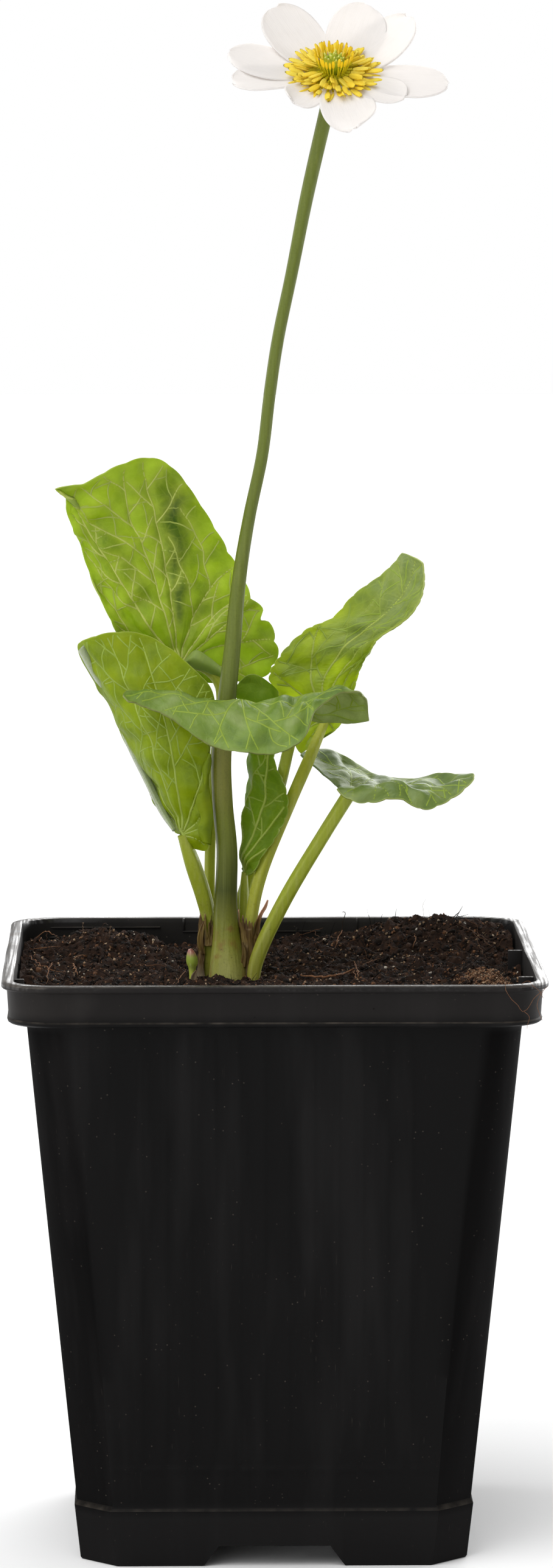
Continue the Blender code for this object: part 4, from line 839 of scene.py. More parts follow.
# Root fibres that lie on the peat: radius, tone, and places across, to the back and above it.
ROOTS = [
    (0.11, 0.84, [(-40.7, 43.5, 0.9), (-39.7, 26.9, 0.7), (-39.5, 26.9, 0.1)]),
    (0.10, 0.87, [(-40.3, 27.2, 0.1), (-38.9, 24.8, 2.5), (-37.4, 17.7, 2.8), (-36.4, 28.0, 0.3)]),
    (0.08, 0.80, [(-38.5, 24.5, 1.9), (-38.6, 30.3, 0.1)]),
    (0.15, 0.82, [(-41.3, 20.0, 0.0), (-38.6, 17.7, 0.9), (-36.2, 22.7, 0.2)]),
    (0.13, 0.90, [(-33.8, 14.6, 0.2), (-32.8, 15.6, 0.8), (-31.4, 17.3, 0.4)]),
    (0.13, 0.88, [(-33.8, 12.8, 0.1), (-33.1, -1.8, 0.7), (-32.7, -2.4, 0.2)]),
    (0.11, 0.86, [(-41.3, 10.4, 0.1), (-39.3, 1.9, 0.5), (-37.2, -2.2, 0.7), (-34.7, 0.9, 0.0)]),
    (0.10, 0.87, [(-37.2, 5.1, 0.2), (-37.7, -7.3, 0.9), (-37.8, -14.1, 0.3)]),
    (0.09, 0.84, [(-32.4, -2.1, 0.2), (-30.7, -6.9, 0.4)]),
    (0.13, 0.88, [(-16.0, -15.1, 0.2), (-15.4, -8.2, 0.7), (-14.5, 2.3, 0.2)]),
    (0.08, 0.78, [(-23.1, 12.8, 0.1), (-20.7, 4.6, 0.5), (-18.1, 5.2, 0.4), (-15.7, 10.4, 0.2)]),
    (0.09, 0.66, [(-29.2, 26.7, 0.2), (-28.5, 17.0, 5.4), (-28.0, 18.9, 5.5), (-28.1, 23.8, 2.4)]),
    (0.08, 0.80, [(-27.6, 24.5, 0.2), (-27.4, 11.3, 5.9)]),
    (0.08, 0.68, [(-31.7, 17.1, 5.0), (-31.3, 21.1, 2.4), (-29.7, 25.3, 0.2)]),
    (0.07, 0.60, [(-29.7, 25.2, 0.8), (-28.1, 20.4, 2.0), (-26.6, 23.8, 1.0)]),
    (0.06, 0.93, [(-31.9, 9.6, 8.0), (-32.1, 18.2, 4.0), (-32.5, 25.9, 0.2)]),
    (0.05, 0.93, [(-27.3, 8.6, 7.0), (-27.7, 24.4, 0.3)]),
    (0.08, 0.70, [(-25.0, 28.7, 0.1), (-24.2, 23.2, 0.7), (-22.7, 24.4, 0.0)]),
    (0.26, 0.85, [(4.8, -3.0, 0.1), (7.8, -4.0, 0.4), (10.6, -6.0, 0.7), (12.5, -1.6, 0.6),
                  (14.0, -0.8, 0.3)]),
    (0.10, 0.86, [(14.4, 12.1, 0.2), (14.4, -3.2, 1.2), (14.4, -10.7, 0.8), (14.2, -10.8, 0.1)]),
    (0.09, 0.84, [(14.0, -0.9, 0.3), (14.1, -10.7, 0.7), (14.0, -10.7, 0.1)]),
    (0.14, 0.86, [(12.7, 32.1, 1.4), (12.0, 28.3, 1.1), (11.6, 25.9, 0.3)]),
    (0.11, 0.88, [(25.3, 28.6, 0.3), (25.4, 23.1, 1.1), (25.0, 23.0, 0.1)]),
    (0.10, 0.70, [(32.7, 32.6, 0.0), (34.8, 28.9, 1.0), (36.5, 25.5, 1.2), (38.5, 22.8, 0.6),
                  (39.6, 25.0, 0.1)]),
    (0.08, 0.74, [(34.5, 32.0, 0.5), (36.1, 30.4, 1.1), (36.3, 29.8, 0.9), (37.3, 25.8, 0.7),
                  (39.3, 22.3, 0.1)]),
    (0.08, 0.72, [(32.7, 29.4, 0.2), (35.3, 27.1, 0.6), (36.7, 22.8, 0.8), (37.4, 16.7, 0.1)]),
    (0.07, 0.75, [(33.6, 24.7, 0.1), (36.3, 26.6, 0.5), (38.2, 26.0, 0.3)]),
    (0.09, 0.72, [(39.7, 24.2, 0.2), (40.6, 24.4, 1.2), (42.0, 25.6, 1.0), (42.3, 25.6, -0.1)]),
    (0.07, 0.70, [(29.4, 26.1, 0.0), (32.1, 27.7, 0.6), (33.3, 29.2, 0.2)]),
    (0.05, 0.80, [(27.6, 40.5, 0.1), (27.3, 40.5, 2.5), (27.9, 40.5, 4.0)]),
    (0.07, 0.60, [(18.3, 40.5, 0.1), (17.6, 40.5, 3.5)]),
    (0.10, 0.55, [(12.9, 40.5, 0.1), (13.7, 40.5, 3.3), (13.2, 40.5, 3.7), (13.5, 40.5, 3.6)]),
    (0.05, 0.55, [(28.4, 40.5, 0.1), (28.6, 40.5, 2.6)]),
    (0.08, 0.76, [(6.2, 41.7, 0.3), (7.8, 38.7, 1.2), (9.6, 36.5, 1.5)]),
    (0.07, 0.74, [(7.4, 43.5, 1.6), (8.8, 37.9, 0.8), (10.3, 33.8, 0.0)]),
    (0.08, 0.84, [(16.2, 19.4, 1.2), (16.8, 19.0, 0.2)]),
    (0.08, 0.84, [(15.6, 6.7, 0.3), (17.9, 14.3, 0.7), (18.8, 16.3, 0.2)]),
    (0.07, 0.80, [(30.2, 18.4, 0.1), (31.5, 19.3, 0.5), (33.7, 16.5, 0.2)]),
]
# Fine brown hairs that hang over the front lip at the right: places in the pot's own frame.
HAIRS = [[(36.6, -41, 96.5), (37.3, -44.9, 99.4), (38.2, -46.3, 97.0), (40.4, -46.0, 95.0),
          (42.0, -45.4, 97.0), (44.2, -43.6, 98.6)],
         [(44.2, -43.6, 98.6), (42.8, -45.6, 97.2), (42.6, -46.0, 95.4), (43.6, -45.6, 93.6)],
         [(40.4, -46.0, 95.0), (41.2, -45.7, 94.0), (41.0, -44.7, 92.0)],
         [(38.0, -40, 96.6), (40.8, -43.6, 99.5), (42.4, -45.6, 98.7), (43.3, -46.0, 96.9)]]
ROOT_TAPER = (0.5, 0.72, 0.3)
ROOT_DARKER = 0.07
ROOT_STEPS = 22
HAIR_RADIUS = 0.035
HAIR_TONE = 0.76
HAIR_STEPS = 26
ROOT_SIDES = 6
WIGGLE = 0.17
WIGGLE_LENGTH = 2.6
strands = []
tones = []
for radius, tone, places in ROOTS:
    x, y, lift = np.array(places, float).T
    lies = soil_height(x, y) + lift
    first, middle, last = [radius * share for share in ROOT_TAPER]
    radii = [first] + [middle] * (len(x) - 2) + [last]
    strands.append(strand(np.column_stack([x, y, lies]), radii, ROOT_STEPS))
    tones.append(tone - ROOT_DARKER)
for places in HAIRS:
    strands.append(strand(places, [HAIR_RADIUS] * len(places), HAIR_STEPS))
    tones.append(HAIR_TONE)
wiggle = np.random.default_rng(8)
for path, _ in strands:
    bends = ripple(path, WIGGLE_LENGTH, int(wiggle.integers(1000)))[:, None]
    path += WIGGLE * bends * np.array([1, 0.6, 0.7])
roots = piece("root_fibres", skin_paths("roots", strands, ROOT_SIDES, litter, tone=tones))
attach(roots, "root")

# Dry leaf bases: last year's papery brown sheaths, which still wrap the crown and stand up torn.
# Each is a thin creased wall round its own stalk, ragged along the top, where the plain model has
# one wall round them all.
STALK_FOOT = 86.3
SHEATH_THICK = 0.18
SHEATH_TEAR = 1.5
SHEATH_FINE_TEAR = 0.3
SHEATH_CREASE = 0.2
SHEATH_FINE_CREASE = 0.05
SHEATH_FLARE = 0.25
SHEATH_SPREAD = 0.3
SHEATH_COLUMNS = 170
SHEATH_ROWS = 34
RIBBON_STEPS = 30
RIBBON_ACROSS = 9
HUSK_PINK = 104.4
HUSK_PALE = 96.5


def facing_of(grid):
    """The way that the outer side of a grid of points looks, at each point."""
    normal = np.cross(np.gradient(grid, axis=0), np.gradient(grid, axis=1))
    return normal / (np.linalg.norm(normal, axis=-1, keepdims=True) + 1e-9)


def unit(ways):
    """The ways, each at length one."""
    return ways / np.linalg.norm(ways, axis=-1, keepdims=True)


def shell(name, grid, thick, material, **facts):
    """A thin closed skin over a grid of points, which keeps each fact on both its sides."""
    columns, rows = grid.shape[:2]
    count = columns * rows
    normal = facing_of(grid)
    out = (grid + normal * thick / 2).reshape(-1, 3)
    back = (grid - normal * thick / 2).reshape(-1, 3)
    front = np.array(grid_faces(columns, rows))
    loop = edge_of(np.arange(count).reshape(columns, rows))
    ahead = np.roll(loop, -1)
    rim = np.column_stack([ahead, loop, loop + count, ahead + count])
    if not np.any((front == loop[0]).any(axis=1) & (front == loop[1]).any(axis=1)):
        rim = rim[:, ::-1]
    quads = np.concatenate([front, front[:, ::-1] + count, rim])
    mesh = mesh_of(name, np.concatenate([out, back]), quads.tolist(), material)
    for label, values in facts.items():
        flat = values.reshape(count, -1)
        both = np.concatenate([flat, flat])
        keep_fact(mesh, label, both if both.shape[1] == 3 else both[:, 0])
    keep_fact(mesh, "under", np.repeat([0.0, 1.0], count))
    mesh.shade_smooth()
    return mesh


def ribbon(name, middle, width, facing, material, curl):
    """A narrow strip along a smooth curve, as wide as told, curled across."""
    path, half = strand(middle, np.array(width) / 2, RIBBON_STEPS)
    ahead = np.gradient(path, axis=0)
    side = unit(np.cross(ahead, np.array(facing, float)))
    lift = unit(np.cross(side, ahead))
    share = np.linspace(-1, 1, RIBBON_ACROSS)
    grid = path[:, None] + side[:, None] * (share * half[:, None])[..., None]
    grid = grid + lift[:, None] * (curl * half[:, None] * share ** 2)[..., None]
    return shell(name, grid, SHEATH_THICK, material)


dry_husk, bench = new_paint("dry_husk")
spot = bench.place()
z = bench.parts(spot)[2]
cloud = bench.noise(spot, 5.0, 4.0)
vein = bench.noise(spot, 0.8, 3.0, stretch=(1.0, 1.0, 0.08))
fleck = bench.noise(spot, 1.2, 4.0)
colour = bench.coats(
    bench.blend(clamp(cloud * 2 - 0.5), (92, 64, 34), (132, 114, 56)),
    (past(vein, 0.42, 5) * 0.7, (60, 38, 22)),
    (past(fleck, 0.62, 7) * 0.4, (190, 166, 126)),
    (past(z, HUSK_PINK, 0.8), (196, 150, 122)),
    (past(z, HUSK_PALE, -0.4) * 0.6, (160, 150, 124)))
finish_paint(bench, colour, 0.7, shine=0.35, height=vein * 0.7 + fleck * 0.3, depth=0.2,
             glow=(190, 130, 80), through=0.2)


def wrapped(centre, radius, turns, low, tops, seed):
    """A dry sheath that clasps a stalk: from turn to turn about it, up to a torn top edge."""
    run = np.linspace(0, 1, SHEATH_COLUMNS)
    turn = np.radians(turns[0] + (turns[1] - turns[0]) * run)[:, None]
    top = np.interp(run, np.linspace(0, 1, len(tops)), tops)
    top = top + SHEATH_TEAR * ripple(run[:, None], 0.12, seed)
    top = top + SHEATH_FINE_TEAR * ripple(run[:, None], 0.04, seed + 1)
    rise = np.linspace(0, 1, SHEATH_ROWS)
    z = low + (top[:, None] - low) * rise
    marks = np.stack([turn * radius * 1.6 + 0 * z, z * 0.3 + turn * 0.5], axis=-1)
    out = radius + SHEATH_CREASE * ripple(marks, 2.0, seed + 2)
    out = out + SHEATH_FINE_CREASE * ripple(marks, 0.6, seed + 3)
    out = out + SHEATH_FLARE * rise ** 4 + SHEATH_SPREAD * (1 - rise) ** 3
    grid = np.stack([centre[0] + out * np.cos(turn), centre[1] + out * np.sin(turn), z], axis=-1)
    return shell("sheath", grid, SHEATH_THICK, dry_husk)


# The sheaths: middle, radius, first and last turn about it, foot, and heights of the torn top.
SHEATHS = [((-3.75, -0.1), 1.55, (175, 385), 91.5, [103.6, 104.3, 103.9, 103.2, 101.6, 99.4], 5),
           ((-10.35, 2.4), 1.5, (150, 350), 99.6, [103.4, 103.3, 102.9, 103.4, 102.6, 103.0], 15),
           ((-10.5, 2.6), 1.6, (130, 240), 91.5, [101.5, 100.8, 99.5, 97.0], 25),
           ((-8.6, 5.0), 2.9, (5, 175), 91.0, [100.5, 102.0, 99.5, 101.5, 100.0], 35)]
# Loose torn strips: points up each strip, widths, the way its face looks, and its curl.
TATTERS = [
    ([(-2.7, -1.2, 101.8), (-2.4, -1.6, 103.8), (-1.8, -1.9, 105.4), (-1.1, -2.1, 106.6),
      (-0.6, -2.0, 107.8)], [0.9, 0.85, 0.55, 0.5, 0.2], (0.4, -1, 0), 0.7),
    ([(-2.9, -2.2, 99.0), (-2.3, -2.6, 99.3), (-1.5, -2.8, 99.9)], [0.5, 0.4, 0.12], (0, -1, 0.3), 0.4),
    ([(-11.4, 0.9, 98.2), (-11.9, 0.5, 100.2), (-11.8, 0.5, 102.0), (-11.3, 0.9, 103.9)],
     [0.5, 0.95, 0.8, 0.25], (-0.3, -1, 0), 0.9),
    ([(-4.9, -1.9, 96.4), (-4.6, -2.2, 98.6), (-4.9, -2.1, 100.6)], [0.9, 0.7, 0.15], (0, -1, 0), 0.5),
]
husks = [wrapped(*sheath) for sheath in SHEATHS]
husks += [ribbon("tatter", middle, width, facing, dry_husk, curl)
          for middle, width, facing, curl in TATTERS]
sheath = piece("dry_leaf_bases", *husks)
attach(sheath, "root")
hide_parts("dry_sheath")

# Leaves: six living leaves, round and finely toothed, thin and satin, with veins that spread from
# the joint and fork. Each grew in one piece with its grooved stalk, so each is one piece here, and
# replaces its plain solid along the same rays or bands.
BLADE_THICK = 0.3
BLADE_COLUMNS = 260
BLADE_ROWS = 56
TOOTH_REACH = 0.14
STALK_SIDES = 20
STALK_STEPS = 70
VEIN_SIDES = 6
VEIN_STEP = 0.6
VEIN_BEND = 0.007
VEIN_FEWEST = 4
# A vein ends this near the margin, or this near another vein.
VEIN_STOPS = 0.4
VEIN_MEETS = 0.45
VEIN_TONE_STEP = 0.35
LEAF_RIM = 0.22
HEART_START = 0.5
HEART_SHARE = 0.03
WAVE_REACH = 6.0
FLAP_COLUMNS = 90
FLAP_ROWS = 13
FLAP_WIDTH = 1.3
# How far from a vein, from the margin and from the heart of the leaf the relief fades.
MAIN_VALLEY = 1.1
SIDE_VALLEY = 0.6
VEIN_HALO = 0.7
RIM_CALM = 1.5
HEART_CALM = 2.5
MIDDLE_SPREAD = 0.35
PUFF_LENGTH = 7.0
FINE_PUFF = 0.05
FINE_PUFF_LENGTH = 2.4
# Main, side and small veins: how far apart and at what angle a vein's branches leave it, how much
# it wanders, its thickness at both ends, where its branches begin, and its greatest length.
VEIN_LEVELS = [dict(gap=6.4, turn=0.66, wander=0.014, thick=(0.29, 0.215), first=6.0, longest=90),
               dict(gap=4.4, turn=0.85, wander=0.05, thick=(0.235, 0.212), first=1.5, longest=15),
               dict(gap=99, turn=0.0, wander=0.13, thick=(0.215, 0.2), first=99, longest=7)]

# Each blade is a fan of rays from its joint with the stalk to its margin, or a row of bands
# across it. Then come the stalk's points, from the blade down to its foot, and their radii.
LEAVES = {
    "leaf_back_left": dict(joint=(-15.25, 8, 146.75), teeth=26, rays=[
        [(-12.8, 8.7, 145.2), (-11.2, 9.4, 143.4)],
        [(-8.5, 11, 146.2), (-1, 13.5, 144.25)],
        [(-7.25, 11.5, 148.75), (1.5, 14, 148.75)],
        [(-7.5, 10.5, 151.5), (-0.5, 13, 155)],
        [(-8.5, 10, 154.75), (-3, 11.5, 158.5)],
        [(-10.25, 10, 158.75), (-6.25, 12, 164.5)],
        [(-12.75, 9, 162), (-10.75, 11, 172.25)],
        [(-15, 8, 164.25), (-16, 9, 179.75)],
        [(-17.5, 7, 164.75), (-20.5, 6, 182.25)],
        [(-19.6, 6.2, 163.75), (-23.5, 4, 173), (-26, 2.5, 181)],
        [(-21, 5.7, 162.2), (-26.2, 2.9, 171.8), (-31, -0.5, 178.5)],
        [(-21.6, 5.6, 161.3), (-27.5, 2.6, 170.8), (-33.4, -1.2, 178.0)],
        [(-22.1, 5.5, 160.6), (-28.6, 2.2, 169.8), (-36.4, -2.1, 177.4)],
        [(-22.5, 5.5, 159.8), (-29.2, 2.5, 168.8), (-34.7, -1.0, 176.3)],
        [(-23.1, 5.6, 158.6), (-30, 3, 167.6), (-34.5, 0.6, 173.5)],
        [(-23.75, 6, 156), (-32.75, 4, 169.25)],
        [(-22.75, 7, 153.5), (-31, 5, 163.5)],
        [(-21.25, 7, 150.75), (-28.5, 5, 157.5)],
        [(-18.75, 8, 148), (-24.75, 7, 150.25)],
        [(-16.75, 9, 146), (-19, 9.5, 144.75)],
    ], stalk=[(-15.25, 8, 146.75), (-11.25, 7.5, 146.4), (-8.6, 7, 143.5), (-8.4, 6, 138.75),
              (-9.5, 5.2, 129.75), (-10.2, 5.1, 117.25), (-10.4, 5.1, 104.75), (-10.4, 5.1, 94),
              (-10.4, 5.1, STALK_FOOT)],
       radii=[0.5, 0.85, 0.9, 0.9, 0.9, 0.9, 0.9, 0.9, 0.9]),
    "leaf_left": dict(joint=(-15, -1, 118.75), teeth=22, rays=[
        [(-16.4, 1.5, 119.4), (-18.9, 4.2, 122.3)],
        [(-18.0, 2.4, 122.6), (-21.4, 6.3, 127.2)],
        [(-19.4, 3.2, 125.4), (-24.2, 7.6, 132.8)],
        [(-20.6, 3.6, 127.8), (-26.3, 8.0, 137.9)],
        [(-21.8, 3.9, 129.8), (-28.3, 8.0, 141.9)],
        [(-23.2, 3.9, 132.4), (-32.6, 7.8, 149.5)],
        [(-22, 0, 134.25), (-30.9, 4, 151.75)],
        [(-20, -2, 136), (-26, 2, 153)],
        [(-17.25, -3, 136.5), (-20.25, 1, 152.25)],
        [(-14.5, -3.5, 134.5), (-14, -0.25, 147.75)],
        [(-12.25, -3.5, 130.75), (-9.6, -1.2, 142.25)],
        [(-11.75, -3.2, 126.75), (-10.4, -2.2, 132.5)],
        [(-12.25, -2.8, 122), (-10.6, -2.2, 124.25)],
        [(-12.75, -2.4, 118.25), (-10.5, -2.4, 116.75)],
        [(-14, -1.2, 117.75), (-13.25, -0.4, 116.5)],
    ], stalk=[(-15, -1, 118.75), (-13.25, 0, 113.5), (-11.5, 1.2, 108), (-10.5, 2.2, 103.25),
              (-10.4, 2.5, 98), (-10.6, 2.7, 94), (-10.6, 2.7, STALK_FOOT)],
       radii=[0.9, 1.35, 1.35, 1.2, 1.15, 1.1, 1.1]),
    "leaf_front": dict(teeth=20, bands=[
        [(-24.0, -5.2, 143.4), (-24.6, -6.1, 143.4), (-25, -7, 143), (-24.7, -7.8, 142.6),
         (-24.1, -8.6, 142)],
        [(-20.8, -4, 143.2), (-21, -5.4, 143.6), (-21.3, -6.8, 143.2), (-21.6, -7.8, 142.4),
         (-21.9, -8.6, 141.5)],
        [(-15.5, -3.5, 142.6), (-15.7, -4.6, 143.3), (-16, -6.4, 143.2), (-16.4, -8.3, 141.6),
         (-16.8, -9.6, 139.2)],
        [(-10.8, -3.4, 141.6), (-10.8, -4.8, 142.2), (-10.8, -7.2, 141.8), (-10.6, -9.6, 139),
         (-10.5, -11, 135)],
        [(-6, -3.2, 141.2), (-6, -4.8, 141.9), (-5.8, -7.8, 141.2), (-5.4, -10.8, 138),
         (-4.6, -12.4, 133.9)],
        [(-1.2, -2.0, 140.8), (-1.2, -4.4, 142), (-1, -8.2, 141), (-0.4, -11.6, 138),
         (0.6, -13, 133.8)],
        [(2.6, 0.6, 139.8), (2.4, -2.6, 142.2), (2.8, -6.6, 142.2), (3.6, -10.6, 140),
         (4.9, -13, 136)],
        [(6.4, 3, 138), (6.4, -0.6, 142), (6.8, -4, 143), (7.2, -7, 142.6), (7.6, -9.6, 141)],
        [(10.4, 4.6, 137.2), (10.6, 1, 141), (10.9, -2.2, 143.6), (11, -4.8, 144),
         (11, -7.2, 143)],
        [(14.4, 5, 137.3), (14.9, 2.4, 139.6), (15.1, -0.6, 141.8), (14.8, -3.4, 143.4),
         (14.2, -5.4, 143.6)],
        [(16.7, 4.4, 137.5), (16.5, 2.8, 139), (16.3, 0.6, 140.4), (16, -1.6, 141.6),
         (15.2, -3.6, 142.6)],
    ], stalk=[(4.5, 0.9, 139.9), (4.3, 2.2, 138), (2.9, 3.8, 132.5), (1.4, 5.3, 126),
              (-0.5, 5.7, 121), (-4.0, 6, 110), (-6.2, 4.9, 103), (-7.2, 4.6, 94),
              (-7.2, 4.6, STALK_FOOT)],
       radii=[0.5, 0.8, 0.95, 1.0, 1.0, 1.0, 0.95, 0.95, 0.95]),
    "leaf_right_tall": dict(teeth=20, bands=[
        [(4.9, 8.6, 131.4), (5.8, 8.9, 131.9), (7, 9.1, 132.7), (8.2, 9.2, 133.6),
         (9.2, 9.2, 134.4)],
        [(3.4, 9.4, 135), (5.4, 9.4, 134.9), (8.2, 9.4, 135.2), (10.4, 9.2, 135.6),
         (12, 9, 136.5)],
        [(1.75, 11, 139.25), (5.5, 10.5, 138.5), (9.5, 9.3, 138), (11.8, 8.8, 139),
         (14, 8.5, 141.5)],
        [(-0.25, 11.5, 144.25), (5, 10.8, 143.8), (10.5, 9.5, 143.5), (13.2, 8.2, 144.5),
         (15.5, 7, 146.75)],
        [(1.75, 11.5, 148.25), (7, 10.6, 148), (12, 9, 148), (15, 6, 148.8), (17, 2.5, 149.8)],
        [(6, 11.5, 152.5), (10, 10, 151.6), (14.2, 7.5, 151.2), (16.6, 4.4, 151.6),
         (18.2, 0.6, 152)],
        [(10.5, 11, 154.5), (13.8, 8.8, 154.2), (17, 5.8, 154.3), (19.6, 2.4, 154),
         (22.2, -1, 154.8)],
        [(14.25, 9, 158.75), (17.2, 6.8, 157.9), (19.8, 4, 157), (22.2, 1, 156.8),
         (24.6, -2, 157.6)],
        [(19.5, 7, 162.75), (21, 4.8, 161.8), (22.6, 2.8, 160.8), (24.3, 0.8, 160.3),
         (25.8, -1, 161)],
        [(22.3, 5.4, 166), (23.1, 4.2, 165.9), (24, 3.0, 165.6), (24.9, 1.8, 165.2),
         (25.7, 0.8, 164.6)],
    ], stalk=[(9.5, 9, 137.5), (6.3, 5.6, 130.5), (3.25, 3.6, 123.75), (-1.5, 1.5, 112.5),
              (-3.5, 0.5, 103.75), (-4.2, 0.3, 94), (-4.2, 0.3, STALK_FOOT)],
       radii=[0.7, 1.0, 1.0, 1.05, 1.05, 1.05, 1.05]),
    "leaf_right_low": dict(joint=(13, -2, 125.5), teeth=22, rays=[
        [(10.25, 5, 127.25), (5, 12, 131)],
        [(11, 6.5, 128), (7.75, 15, 131.5)],
        [(12.5, 7, 128), (10.25, 17, 131.5)],
        [(14.75, 6, 127.25), (15.75, 16, 128.5)],
        [(17.5, 4, 126.75), (21.5, 12, 126.75)],
        [(20, 2, 126.75), (25.75, 4, 127.25), (28.75, 6, 128.25)],
        [(20.5, 0, 127.25), (27.75, -1, 127.25), (34.5, -2, 128.75)],
        [(20, -3, 127.75), (26, -5, 127), (29.75, -6, 125)],
        [(18.75, -5, 128), (23, -7, 127.9), (25.6, -8, 123.7)],
        [(17, -5.5, 128.1), (20.2, -7.6, 127.3), (21.4, -8.4, 125.6)],
        [(15.25, -5.5, 128.1), (16.2, -8, 127.2), (16.4, -8.8, 124.9)],
        [(13.75, -5.5, 127.9), (13.3, -7.8, 127.2), (13.1, -8.4, 125.4)],
        [(12.25, -5, 127.5), (10.75, -7, 127)],
    ], stalk=[(13, -2, 125.5), (8.75, -2.4, 118.75), (2.75, -2.8, 108.75), (-1.8, -3, 99.5),
              (-3.1, -3.2, 94), (-3.1, -3.2, STALK_FOOT)],
       radii=[1.15, 1.15, 1.2, 1.2, 1.1, 1.1]),
    "leaf_centre": dict(teeth=16, bands=[
        [(-5.0, 3.6, 112.6), (-4.7, 3.0, 111.6), (-4.3, 2.2, 111.5), (-3.6, 1.0, 111.8),
         (-3.0, 0, 112.5)],
        [(-4.9, 4.8, 116.5), (-4.6, 3.9, 116), (-3.6, 2.0, 116), (-1.8, 0.7, 116),
         (-0.3, 0.1, 116.5)],
        [(-4.3, 5.6, 121), (-3.9, 4.4, 120.5), (-2.8, 2.4, 120), (-0.6, 1.0, 119.6),
         (1.6, 0.2, 119.4)],
        [(-3.9, 6.3, 125.5), (-3.6, 4.8, 125), (-2.4, 2.8, 124.4), (0.2, 1.5, 123.8),
         (3, 0.8, 123.2)],
        [(-3.8, 6.8, 129.5), (-3.4, 5.4, 129), (-2.3, 3.7, 128.5), (0, 2.5, 127.8),
         (2.3, 1.8, 127.2)],
        [(-3.9, 7.4, 133), (-3.6, 6.2, 132.6), (-2.8, 4.9, 132.2), (-1.0, 4.0, 131.4),
         (0.8, 3.4, 130.6)],
        [(-5.2, 7.8, 138), (-4.2, 7, 137.5), (-2.7, 6.2, 137), (-1, 5.8, 136.6),
         (0.9, 5.6, 136)],
        [(-6.1, 7.8, 142.2), (-4.6, 7.8, 142.6), (-3, 7.8, 142.6), (-1, 8, 142.2),
         (1.6, 8.3, 141.2)],
        [(-5.4, 7.9, 143.8), (-4.2, 8, 144.9), (-3, 8.2, 145.2), (-1.5, 8.4, 144.6),
         (0.4, 8.6, 143.2)],
    ], stalk=[(-4.5, 2.5, 112), (-4.6, 3.0, 108), (-4.7, 3.2, 103.25), (-4.9, 3.3, 94),
              (-4.9, 3.3, STALK_FOOT)],
       radii=[0.5, 0.8, 0.85, 0.85, 0.85]),
}


def tooth_depth(run, teeth, deep):
    """How far the margin steps back between its rounded teeth, at shares of its length."""
    size = np.interp(run, *zip(*deep))
    return size * (1 - np.abs(np.sin(math.pi * teeth * run)) ** 0.6)


def crowded(rows):
    """Shares from 0 to 1 that lie closer together towards 1."""
    return 1 - (1 - np.linspace(0, 1, rows)) ** 1.5


def draw_back(grid, shares, depth):
    """Moves the margin at the end of the rows inwards, and the rows behind it less and less."""
    weight = np.clip((shares - (1 - TOOTH_REACH)) / TOOTH_REACH, 0, 1) ** 2
    way = unit(grid[:, -1] - grid[:, -6])
    return grid - way[:, None] * (depth[:, None] * weight)[..., None]


def fan_grid(joint, rays, depth):
    """Points of a round blade, the angle of each line, and how far from the joint each point is."""
    shares = HEART_SHARE + (1 - HEART_SHARE) * crowded(BLADE_ROWS)
    lines = []
    for ray in rays:
        whole = [joint] + ray
        lines.append(smooth_at(whole, even_steps(whole, shares)))
    lines = np.array(lines)
    grid = smooth_at(lines, even_steps(lines[:, -1], np.linspace(0, 1, BLADE_COLUMNS)))
    grid = draw_back(grid, shares, depth)
    ways = unit(grid[:, BLADE_ROWS // 3] - np.array(joint))
    turns = np.arccos(np.clip((ways[1:] * ways[:-1]).sum(axis=1), -1, 1))
    angle = np.concatenate([[0.0], np.cumsum(turns + 1e-6)])
    reach = np.linalg.norm(np.diff(grid, axis=1), axis=-1)
    reach = np.cumsum(np.concatenate([np.full((BLADE_COLUMNS, 1), HEART_START), reach], axis=1), axis=1)
    return grid, angle, reach


def band_grid(bands, depth):
    """Points of a folded blade, how far along it each line is, and how far across each point is."""
    half = crowded(BLADE_ROWS // 2 + 1)[1:]
    shares = 0.5 + 0.5 * np.concatenate([-half[::-1], half])
    lines = np.array([smooth_at(band, even_steps(band, shares)) for band in bands])
    run = np.linspace(0, 1, BLADE_COLUMNS)
    grid = smooth_at(lines, even_steps(lines[:, BLADE_ROWS // 2], run))
    grid = draw_back(grid, shares, depth)
    grid = draw_back(grid[:, ::-1], shares, depth)[:, ::-1]
    along = run_along(grid[:, BLADE_ROWS // 2])
    across = np.linalg.norm(np.diff(grid, axis=1), axis=-1)
    across = np.cumsum(np.concatenate([np.zeros((BLADE_COLUMNS, 1)), across], axis=1), axis=1)
    across -= across[:, BLADE_ROWS // 2][:, None]
    return grid, along, across


